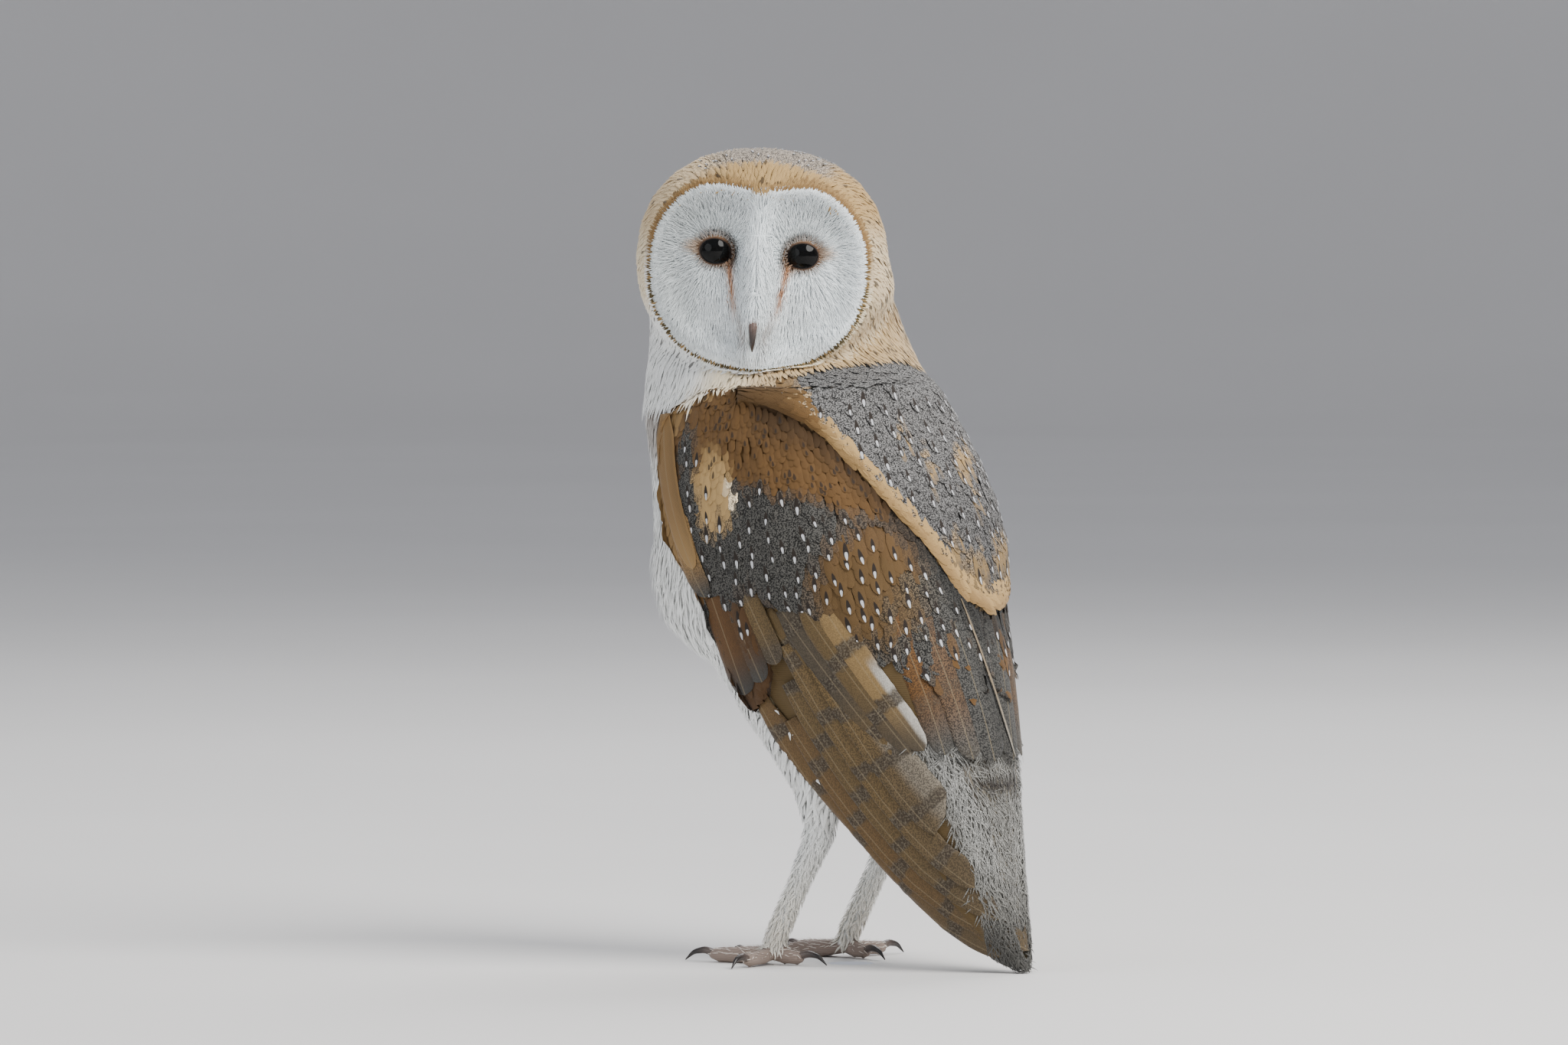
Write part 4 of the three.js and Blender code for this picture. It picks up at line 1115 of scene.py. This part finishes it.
def cape_margin():
    """Smooth golden feathers along the lower edge of the cape, tip over root."""
    shoulder = faces_of("wing_coverts", "neck", "trunk") & (body_turn(CENTRES) > 70) & (HEIGHT > 238)
    cape = part_of(faces_of("mantle") & ~INWARD | shoulder)
    for half, (first, last) in enumerate(((83.0, -18.0), (-112.0, -18.0))):
        turns = np.linspace(first, last, 260)
        places, flows, shade = [], [], []
        for offset in (10.5, 8.8, 7.1, 5.4, 3.7, 2.0):
            line = section_point(np.radians(turns), cape_edge(turns) + offset, -CAPE_LIFT)
            at = np.arange(2 + 0.9 * (offset - 2), run_along(line)[-1] - 8, 3.6)
            at = at + random.uniform(-1.5, 1.5)
            places.append(along_line(line, at))
            flows.append(along_line(line, at + 4) - places[-1])
            shade.append(np.full(len(at), offset))
        places, flows, shade = np.concatenate(places), np.concatenate(flows), np.concatenate(shade)
        turn = body_turn(places)
        patchy = 0.5 + 0.5 * wavy(places, 14, 31.0)
        colour = painted(mixed(ORANGE, BUFF, 0.35 + 0.5 * patchy), (BUFF, ramp(shade, 2, 9.5)),
                         (GOLD, 0.9 * ramp(np.abs(turn), 44, 56)))
        # painted shade: the margin darkens toward its front left end
        colour = colour * (1 - 0.4 * ramp(turn, 56, 72))[:, None]
        start = ramp(np.abs(first - turn), 0, 16)
        lay(f"coat_cape_margin_{half + 1}", "golden_plumage", cape.nearest(places)[0],
            unit(flows) - 0.15 * UPWARD, 9 + 6 * start, 1.2 + 2.4 * start, colour, outline="vane",
            lift=(-0.7, 0.05), fan=2.5, on=cape)


def lies_close(places, flow, length, surface, reach):
    """Whether feathers of a length would end close over a surface."""
    ahead = places + flow * length
    return np.linalg.norm(surface.nearest(ahead)[0] - ahead, axis=1) < reach


def wing_coat(name, side):
    """Coverts of the upper side, with drops in columns, and the white lining under the wing."""
    node = faces_of(f"wing_coverts_{name}")
    upper = node & ~INWARD
    across, height = staggered(np.arange(-86.0, 56, 6.6), np.arange(128.0, 246, 8.4), 4.2, 0.9)
    kept = (across - leading_edge(height) > 5.5) & (random.random(len(across)) > 0.07)
    kept &= height > np.where(across > -45, 137, 150)
    lattice, _, at = OUTER.nearest(on_wing(across[kept], height[kept], 0, side))
    lattice = lattice[upper[at]]
    places, _ = scattered(upper, 3.3 - 1.1 * ramp(HEIGHT, 165, 215), lattice)
    colour, grain = wing_colours(places, side)
    view, height = across_view(places, side), places[:, 2]
    lesser = ramp(height + 0.27 * (view + 60), 206, 214) * (view > -74)
    first = np.arange(len(places)) < len(lattice)
    dotted = (lesser > 0.5) & ~first & (random.random(len(places)) < 0.3)
    drop = np.where(dotted, DOT, np.where(first & ((lesser < 0.5) | (grain > 0.6)), DROP, 0.0))
    drop = drop * (near_blob(view, height, (-62, 209, 6, 8)) < 0.3)
    slope = (leading_edge(height - 9) - leading_edge(height + 3)) / 12
    from_edge = ramp(view - leading_edge(height), 3, 14)
    slope = 0.22 + (np.clip(slope, 0, 0.75) - 0.22) * (1 - from_edge)
    flow = unit(RIGHTWARD * slope[:, None] - UPWARD) * [side, 1, 1]
    held = lies_close(places, flow, 9, OUTER, 3.5) | (height > 190)
    places, flow, colour, grain, drop, lesser = (
        values[held] for values in (places, flow, colour, grain, drop, lesser))
    lay(f"coat_wing_{name}", "golden_plumage", places, flow, 12 - 5.5 * lesser, 5.6 - 2.2 * lesser,
        colour, drop, grain, "vane", camber=0.15, fan=5,
        lift=(-0.9 + 0.3 * lesser + 0.7 * (drop == DROP), 0.05 + 0.3 * drop - 0.15 * lesser),
        small=random.uniform(0.85, 1.25, len(places)), on=part_of(upper))
    lining = part_of(node & INWARD)
    places, _ = scattered(node & INWARD & (HEIGHT > 140), 3.0)
    flow = unit(np.array([0.0, 0.3, -1.0]))
    places = places[lies_close(places, flow, 11, lining, 2.5)]
    lay(f"coat_underwing_{name}", "white_plumage", places, flow, 10, 4, WHITE, outline="vane", on=lining)


def downy_coat(name, side):
    """Loose grey down over the inner vanes of the quills and the tail."""
    half = (CENTRES[:, 0] * side > -0.5) & (HEIGHT < 99)
    half &= across_view(CENTRES, side) > column(DOWN_EDGE, 0, 1, HEIGHT)
    chosen = faces_of("primaries", "secondaries", "tail") & half & ~INWARD
    places, _ = scattered(chosen, 1.08)
    view, height = across_view(places, side), places[:, 2]
    inside = view - column(DOWN_EDGE, 0, 1, height)
    colour = mixed(DOWN_GREY, DARK_GREY, 0.85 * (1 - ramp(height, 10, 46)))
    colour = colour * (1 + 0.3 * wavy(places, 7, 51.0))[:, None]
    bar = bell(height - 83 - 1.5 * wavy(places, 4, 71.0), 4.2) * ramp(view, 40, 44)
    colour = painted(colour, (WHITE, 0.15 * bell(inside - 10, 7) * ramp(height, 30, 60)),
                     (DARK * 0.7, bar))
    flow = unit(RIGHTWARD * 0.35 - UPWARD) * [side, 1, 1]
    over_tail = np.linalg.norm(at_surface(places) - places, axis=1)
    base = np.clip(over_tail - 3.5, 0, 4) * (inside > 8)
    lay(f"coat_down_{name}", "white_plumage", places, flow, 8.5 * (1 - 0.4 * bar), 0.6, colour,
        grain=0.35, fan=28, on=part_of(chosen),
        lift=(base - 0.3, base + random.uniform(0.1, 0.8, len(places))))


# ---------------------------------------------------------------- flight feathers
BLADE_ROWS, BLADE_COLUMNS = 44, 9
BLADE_THICKNESS = 0.25
UPPER_VANES, UNDER_VANES = -0.1, 1.55  # depths of the two layers of vanes
SECONDARIES = 4
SECONDARY_LINE = np.array([[-48, 154], [0.78, 0.626]])  # a place on it, the way across it
GREYED = mixed(OLIVE, DARK_GREY, 0.6) * 0.9
# Feathers laid over the wing: root and tip (across the wing view, height), widths left and right
# of the shaft, depths at root and tip, bow to the right, colours at root and tip, bars,
# vermiculation, colour of the right vane.
WING_BLADES = [
    [(-48, 154), (1, 93), 4.5, 8, (2.4, 1.0), -1, OLIVE, OLIVE, 0.9, 0.1, None],
    [(-40, 156), (8, 94), 4.5, 8, (1.9, 0.7), -1, GREYED, OLIVE, 0.9, 0.25, None],
    [(-31, 158), (16, 95), 5, 8, (1.4, 0.4), -1, OLIVE, GREYED, 0.9, 0.2, None],
    [(-21, 157), (22, 96), 6.5, 6.5, (0.9, 0.1), -1, mixed(OLIVE, BUFF, 0.3), GREYED, 0.9, 0.15,
     PALE_GREY],
    [(9, 154), (31, 94), 6, 7, (0.7, -0.1), 1, ORANGE * 0.8, DARK_GREY * 1.2, 0.35, 0.5, None],
    [(22, 152), (43, 92), 6, 7, (0.5, -0.3), 1, mixed(ORANGE, DARK_GREY, 0.4) * 0.85,
     DARK_GREY * 1.2, 0.35, 0.7, None],
    [(35, 150), (52, 91), 6, 7, (0.3, -0.5), 1, DARK_GREY, DARK_GREY * 0.9, 0.0, 0.9, None],
    [(38, 160), (60.5, 92), 0.35, 0.3, (0.0, -1.0), 1, mixed(BUFF, GREY, 0.7), PALE_GREY * 0.8,
     0.0, 0.2, None],
    [(-57, 166), (-41, 132), 5, 5, (0.9, 0.2), 0, OLIVE, GREYED, 0.5, 0.3, None],
    [(-64, 163), (-47, 124), 6, 5, (0.6, -0.2), 0, ORANGE * 0.7, DARK_GREY, 0.2, 0.15, None],
    [(-69, 160), (-54, 118), 5, 6, (0.3, -0.5), 0, ORANGE * 0.7, DARK_GREY * 0.8, 0.0, 0.1, None],
    [(-84, 197), (-71, 160), 3.5, 4.5, (-0.2, -0.8), -2, mixed(GOLD, BUFF, 0.3), DARK_GREY,
     0.0, 0.35, None],
    [(-89, 238), (-76, 172), 3.5, 4, (-0.2, -1.0), -4, mixed(GOLD, BUFF, 0.25),
     mixed(GOLD, BUFF, 0.5), 0.0, 0.0, None],
]


class Blades:
    """Long feathers laid over wing or tail, joined into one mesh."""

    def __init__(self):
        self.blades = []
        self.count = 0

    def add(self, place, length, left, right, tint, tip_tint, bars, phase, shoulder, grain=0.0,
            right_tint=None):
        """place(run, aside) gives points; left and right are the widths beside the shaft."""
        along = np.linspace(0, 1, BLADE_ROWS) ** 0.9
        past = np.clip((along - shoulder) / (1 - shoulder), 0, 1)
        full = (0.55 + 0.45 * ramp(along, 0, 0.15)) * np.sqrt(np.maximum(1 - past ** 2.4, 0.0004))
        spread = np.linspace(-1, 1, BLADE_COLUMNS)
        aside = np.where(spread < 0, left * spread, right * spread) * full[:, None]
        aside = aside * (1 + 0.015 * random.normal(size=aside.shape) * (np.abs(spread) == 1))
        run = np.broadcast_to((along * length)[:, None], aside.shape).ravel()
        aside = aside.ravel()
        points = place(run, aside)
        base = np.arange(BLADE_ROWS - 1)[:, None] * BLADE_COLUMNS + np.arange(BLADE_COLUMNS - 1)
        base = base.ravel() + self.count
        faces = np.stack([base, base + 1, base + BLADE_COLUMNS + 1, base + BLADE_COLUMNS], axis=1)
        away = aside / right
        colour = mixed(tint, tip_tint, ramp(run / length, 0.5, 1))
        # painted shade: each blade darkens toward its right side, where feathers overlap
        colour = colour * (1 - 0.22 * ramp(away, 0.1, 0.9))[:, None]
        if right_tint is not None:
            colour = mixed(colour, right_tint, ramp(away, 0.25, 0.5) * ramp(run / length, 0.36, 0.5))
        self.blades.append((points, faces, stacked(run + phase, aside, length - run + 20),
                            # painted shade of the cape's shadow, and a random tone for each blade
                            colour * painted_cape_shade(points) * random.uniform(0.94, 1.06),
                            stacked(np.zeros(len(points)), grain, bars)))
        self.count += len(points)

    def build(self, name, slot):
        points, *rest = (np.concatenate(values) for values in zip(*self.blades))
        made = make_mesh(name, QUILLS, slot, points, *rest, UNWRAP[OUTER.nearest(points)[2]])
        thick = made.modifiers.new("thickness", "SOLIDIFY")
        thick.thickness, thick.offset = BLADE_THICKNESS * MM, -1


def leading_place(run, inset):
    """Places of the wing view a distance up the leading edge from its tip, an inset in."""
    along = unit(along_line(LOW_EDGE, run + 4) - along_line(LOW_EDGE, run - 4))
    return along_line(LOW_EDGE, run) + stacked(along[:, 1], -along[:, 0]) * inset[:, None]


def leading_edge_turn(height, inset):
    """Turn of the line an inset in from the leading edge."""
    across, ahead, behind = (column(LOW_EDGE, 1, 0, height + step) for step in (0, 1, -1))
    slope = unit(stacked(ahead - behind, 2))
    return turn_at(across + inset / np.maximum(slope[:, 1], 0.3), height)


def inner_turn(height):
    """Turn of the wing's inner edge."""
    away = column(INNER_EDGE, 1, 0, height) / column(MANTLE, 0, 1, height)
    return np.arcsin(np.clip(away, 0, 1) ** (ROUNDNESS / 2))


def flight_feathers(name, side):
    """Primaries and secondaries with their undersides, and the feathers laid over them."""
    wing = Blades()
    for under in (False, True):
        layer = UNDER_VANES if under else UPPER_VANES
        for number, (tip, depth) in enumerate(PRIMARIES):
            start = max(np.interp(tip, LOW_EDGE[:, 1], run_along(LOW_EDGE)), 1.5)
            root = 158 - 3 * number
            middle = (number + 0.35) * PRIMARY_PITCH + 0.7

            def place(run, aside):
                spot = leading_place(start + (root - run), middle + aside)
                spot[:, 1] = np.maximum(spot[:, 1], 0.6)
                covered = (spot - SECONDARY_LINE[0]) @ SECONDARY_LINE[1]
                sink = 3.2 * ramp(covered, -2, 6) * ramp(spot[:, 1], 96, 126)
                bend = 0.25 * ramp(aside, 2, 8)
                return on_wing(spot[:, 0], spot[:, 1], depth + sink + layer + bend, side)

            last = number == len(PRIMARIES) - 1
            tint = PALE_BUFF if under else mixed(OLIVE, ORANGE, 0.3 if number < 2 else 0.0)
            tip_tint = PALE_BUFF if under else mixed(OLIVE, DARK_GREY, 0.35)
            wing.add(place, root, 0.35 * PRIMARY_PITCH + 0.2, 0.65 * PRIMARY_PITCH + (12 if last else 4),
                     tint, tip_tint, 0.5 if under else 0.85, 12 - 7 * number, 0.86, 0.2 + 0.06 * number,
                     mixed(OLIVE, DOWN_GREY, 0.45) if last and not under else None)
        for number in range(SECONDARIES):
            def place(run, aside):
                height = 126 - run
                lead = leading_edge_turn(height, 5 * PRIMARY_PITCH - 2)
                inner = inner_turn(height)
                turn = lead + (inner - lead) * ((number + 0.5) / SECONDARIES) + np.radians(aside * 1.9)
                depth = 2.9 + layer + 0.15 * number + 3.2 * ramp(height, 90, 92) * (not under)
                return section_point(np.maximum(turn, inner * 0.98), height, depth) * [side, 1, 1]

            tint = PALE_BUFF if under else mixed(OLIVE, DOWN_GREY, 0.5)
            wing.add(place, 84 - 8 * number, 5.5, 6.5, tint, tint, 0.4 if under else 0.85, 8 * number,
                     0.85, 0.3)
    for number, (root, tip, left, right, depths, bow, *look, grain, edge) in enumerate(WING_BLADES):
        if left < 1 and side < 0:  # the pale edge between the wings is the left wing's
            continue
        root, tip = np.array(root), np.array(tip)
        length = np.linalg.norm(tip - root)
        along = (tip - root) / length
        over = np.array([-along[1], along[0]])

        def place(run, aside):
            share = run / length
            spot = root + along * run[:, None] + over * (aside + bow * 4 * share * (1 - share))[:, None]
            depth = depths[0] + (depths[1] - depths[0]) * share + 0.02 * aside ** 2
            return on_wing(spot[:, 0], spot[:, 1], depth, side)

        wing.add(place, length, left, right, *look, 11 + 9 * number, 0.75, grain, edge)
    wing.build(f"quills_{name}", "flight_plumage")


def tail_feathers():
    tail = Blades()
    tint = mixed(PALE_BUFF, DOWN_GREY, 0.6)
    for number in (5, -5, 4, -4, 3, -3, 2, -2, 1, -1, 0):
        def place(run, aside):
            height = 116 - run
            wide = column(TAIL_HALF_WIDTH, 0, 1, height) * 0.86
            away = np.clip((wide * (number / 5) + aside) / column(MANTLE, 0, 1, height), -0.93, 0.93)
            turn = np.sign(away) * np.arcsin(np.abs(away) ** (ROUNDNESS / 2))
            return section_point(turn, height, 3.8 + 0.12 * abs(number))

        tail.add(place, 102 - 1.5 * abs(number), 4.5, 4.5, tint, tint * 0.95, 0.75, 6.0, 0.9)
    tail.build("quills_tail", "white_plumage")


head_coat()
face_coat()
rim_coat()
neck_coat()
collar_coat()
body_coat()
leg_coat()
toe_bristles()
back_coat()
cape_margin()
for wing_name, wing_side in SIDES:
    wing_coat(wing_name, wing_side)
    flight_feathers(wing_name, wing_side)
tail_feathers()
for wing_name, wing_side in SIDES:
    downy_coat(wing_name, wing_side)


# ---------------------------------------------------------------- eyes, lids, bill, claws
def ring_turns(count):
    return np.linspace(0, 2 * math.pi, count, endpoint=False)


def lathe(rings):
    """Points and faces of a surface through rings of as many points each."""
    count = len(rings[0])
    low = np.stack([np.arange(count), (np.arange(count) + 1) % count], axis=1)
    faces = [np.concatenate([low + row * count, low[:, ::-1] + (row + 1) * count], axis=1)
             for row in range(len(rings) - 1)]
    return np.concatenate(rings), np.concatenate(faces)


def eyeball(name, side):
    turns = ring_turns(48)
    rings = []
    for polar in np.radians([100, 85, 70, 60, 52, 44, 36, 28, 20, 13, 7, 2.5, 0.4]):
        radius = EYE_RADIUS * math.sin(polar)
        forward = EYE_RADIUS * math.cos(polar) + 0.55 * bell(radius, 4.6)
        rings.append(from_head(stacked(side * EYE_SIDE + radius * np.cos(turns),
                                       EYE_UP + radius * np.sin(turns), EYE_DEPTH + forward)))
    points, faces = lathe(rings)
    across, up, _ = in_head(points).T
    radius = np.hypot(across - side * EYE_SIDE, up - EYE_UP)
    make_mesh(f"eyeball_{name}", EYE_MATERIAL, "eye", points, faces, stacked(radius, 0, 0),
              replaces=[f"eye_{name}"])


def lids(name, side):
    """A thin dark rim that touches the eyeball and runs out under the feathers."""
    turns = ring_turns(72)
    from_corner = turns - math.radians(180 + 38)  # toward the bill and down, on the bird's left side
    from_top = turns - 1.7
    slit = (1 + 0.13 * bell(np.angle(np.exp(1j * from_corner)), 0.42)
            - 0.05 * bell(np.angle(np.exp(1j * from_top)), 0.9))
    rings = []
    for out, rise in ((-0.55, -0.35), (-0.2, 0.25), (0.05, 0.5), (0.35, 0.5), (0.7, 0.35),
                      (1.2, 0.2), (2.0, 0.1)):
        radius = (LID_RADIUS + out) * slit
        x, y = LID_WIDE * radius * np.cos(turns), LID_TALL * radius * np.sin(turns)
        across, up = side * (EYE_SIDE + x), EYE_UP + y
        depth = np.maximum(ball_depth(x, y) + rise, face_height(across, up) - 0.6)
        rings.append(from_head(stacked(across, up, depth)))
    points, faces = lathe(rings)
    row = np.arange(len(points)) // len(turns)
    colour = painted(rgb(20, 17, 17), (LID_BROWN, np.clip((row - 2.0) / 2, 0, 1)),
                     (mixed(TAN, GREY, 0.4), 0.45 * (row > 4)))
    make_mesh(f"lids_{name}", SKIN_MATERIAL, "horn", points, faces, plain_vane(0, len(points)), colour,
              np.zeros((len(points), 3)))


def curved_horn(name, node, stations, material, segments, steps, flat=1.0, on_head=False):
    """A smooth tapering body along a curve through stations of centre and radius."""
    stations = np.array(stations, dtype=float)
    keys = np.linspace(0, 1, len(stations))
    fine = np.stack([np.interp(np.linspace(0, 1, steps), keys, values) for values in stations.T], axis=1)
    for _ in range(2):
        fine[1:-1] = (fine[:-2] + 2 * fine[1:-1] + fine[2:]) / 4
    centres, radii = fine[:, :3], fine[:, 3]
    along = unit(np.gradient(centres, axis=0))
    aside = unit(np.cross([1.0, 0.0, 0.001], along))
    over = np.cross(along, aside)
    turns = ring_turns(segments)[:, None]
    rings = [centres[i] + radii[i] * (aside[i] * np.cos(turns) + over[i] * flat * np.sin(turns))
             for i in range(steps)]
    tip = centres[-1] + along[-1] * radii[-1]
    rings.append(tip + 0.02 * (rings[-1] - centres[-1]))
    points, faces = lathe(rings)
    run = np.repeat(run_along(np.vstack([centres, tip])), segments)
    make_mesh(name, material, "horn", from_head(points) if on_head else points, faces,
              stacked(run, 0, 0), replaces=[node])


for eye_name, eye_side in SIDES:
    eyeball(eye_name, eye_side)
    lids(eye_name, eye_side)

# Stations are given in the head's frame: side, up, depth, radius.
curved_horn("upper_mandible", "bill_upper", [
    [0, -9, 0, 3.0], [0, -15, 3.5, 3.0], [0, -21, 7.0, 2.6], [0, -26, 9.0, 2.1], [0, -31, 8.6, 1.3],
    [0, -34.2, 6.4, 0.35]], BILL_MATERIAL, 28, 22, 0.8, True)
curved_horn("lower_mandible", "bill_lower", [
    [0, -14, -1, 2.6], [0, -21, 3, 2.1], [0, -27, 5, 1.4], [0, -29.5, 5.4, 0.5]],
    BILL_MATERIAL, 24, 14, 0.8, True)

for toe_name, direction, length, _, claw_length in TOES:
    for foot_name, foot_side in SIDES:
        ahead = np.array([foot_side * math.sin(math.radians(direction)),
                          -math.cos(math.radians(direction))])
        claw = []
        for share, height, size in ((0, 4.1, 1.7), (0.3, 5.2, 1.6), (0.7, 4.1, 1.0), (1, 0.5, 0.22)):
            reach = length - 1.5 + claw_length * share
            claw.append([*(ANKLE[:2] * [foot_side, 1] + ahead * reach), height, size])
        curved_horn(f"talon_{toe_name}_{foot_name}", f"claw_{toe_name}_{foot_name}", claw,
                    CLAW_MATERIAL, 16, 16)


# ---------------------------------------------------------------- camera, floor and light
def aim(thing, place, target):
    thing.location = Vector(place)
    thing.rotation_euler = (Vector(target) - Vector(place)).to_track_quat("-Z", "Y").to_euler()


TARGET = (RIGHTWARD * -37.8 + UPWARD * 191 + SHIFT) * MM
ELEVATION = math.radians(2.5)
DISTANCE = 6.0
FRAME_WIDTH = 0.676  # metres that the frame spans at the bird
camera = new_object("camera", bpy.data.cameras.new("camera"))
camera.data.sensor_width = 36
camera.data.lens = camera.data.sensor_width * DISTANCE / FRAME_WIDTH
camera.data.clip_end = 100
aim(camera, TARGET + (OUTWARD * math.cos(ELEVATION) + UPWARD * math.sin(ELEVATION)) * DISTANCE, TARGET)
bpy.context.scene.camera = camera

# A round floor that curves up into a wall: distance from the middle, height, in metres.
FLOOR_EDGE, FLOOR_BEND = 6.4, 1.8
profile = [(0.01, 0.0), (1.5, 0.0), (FLOOR_EDGE, 0.0)]
profile += [(FLOOR_EDGE + FLOOR_BEND * math.sin(a), FLOOR_BEND * (1 - math.cos(a)))
            for a in np.radians(range(9, 91, 9))]
profile += [(FLOOR_EDGE + FLOOR_BEND, 5.0)]
floor_turns = ring_turns(48)
floor_points, floor_faces = lathe([stacked(run * np.cos(floor_turns), run * np.sin(floor_turns), rise)
                                   for run, rise in profile])
floor_mesh = bpy.data.meshes.new("floor")
floor_mesh.from_pydata(floor_points.tolist(), [], floor_faces.tolist())
floor_mesh.polygons.foreach_set("use_smooth", [True] * len(floor_mesh.polygons))
floor_shader = Shader("floor", 0.9, 0.1)
floor_tone = floor_shader.between(floor_shader.noise(400), 0.3, 0.7, 0.985, 1.01)
floor_mesh.materials.append(floor_shader.finish(floor_shader.times((0.78, 0.765, 0.75), floor_tone)))
new_object("floor", floor_mesh)


def softbox(name, direction, distance, size, watts, colour):
    light = bpy.data.lights.new(name, "AREA")
    light.shape, light.size, light.energy, light.color = "DISK", size, watts, colour
    middle = UPWARD * 0.2
    aim(new_object(name, light), middle + unit(direction) * distance, middle)


softbox("key", RIGHTWARD * 0.8 + OUTWARD * 0.7 + UPWARD, 2.2, 1.6, 82, (1, 0.98, 0.95))
softbox("fill", RIGHTWARD * -1.0 + OUTWARD * 0.7 + UPWARD * 0.35, 2.6, 2.0, 17, (0.94, 0.97, 1))
softbox("back", RIGHTWARD * 0.3 - OUTWARD * 1.0 + UPWARD * 1.1, 2.4, 1.5, 34, (1, 1, 1))

world = bpy.data.worlds.new("studio")
world.use_nodes = True
background = world.node_tree.nodes["Background"]
background.inputs["Color"].default_value = (0.86, 0.9, 1.0, 1)
background.inputs["Strength"].default_value = 0.5
bpy.context.scene.world = world
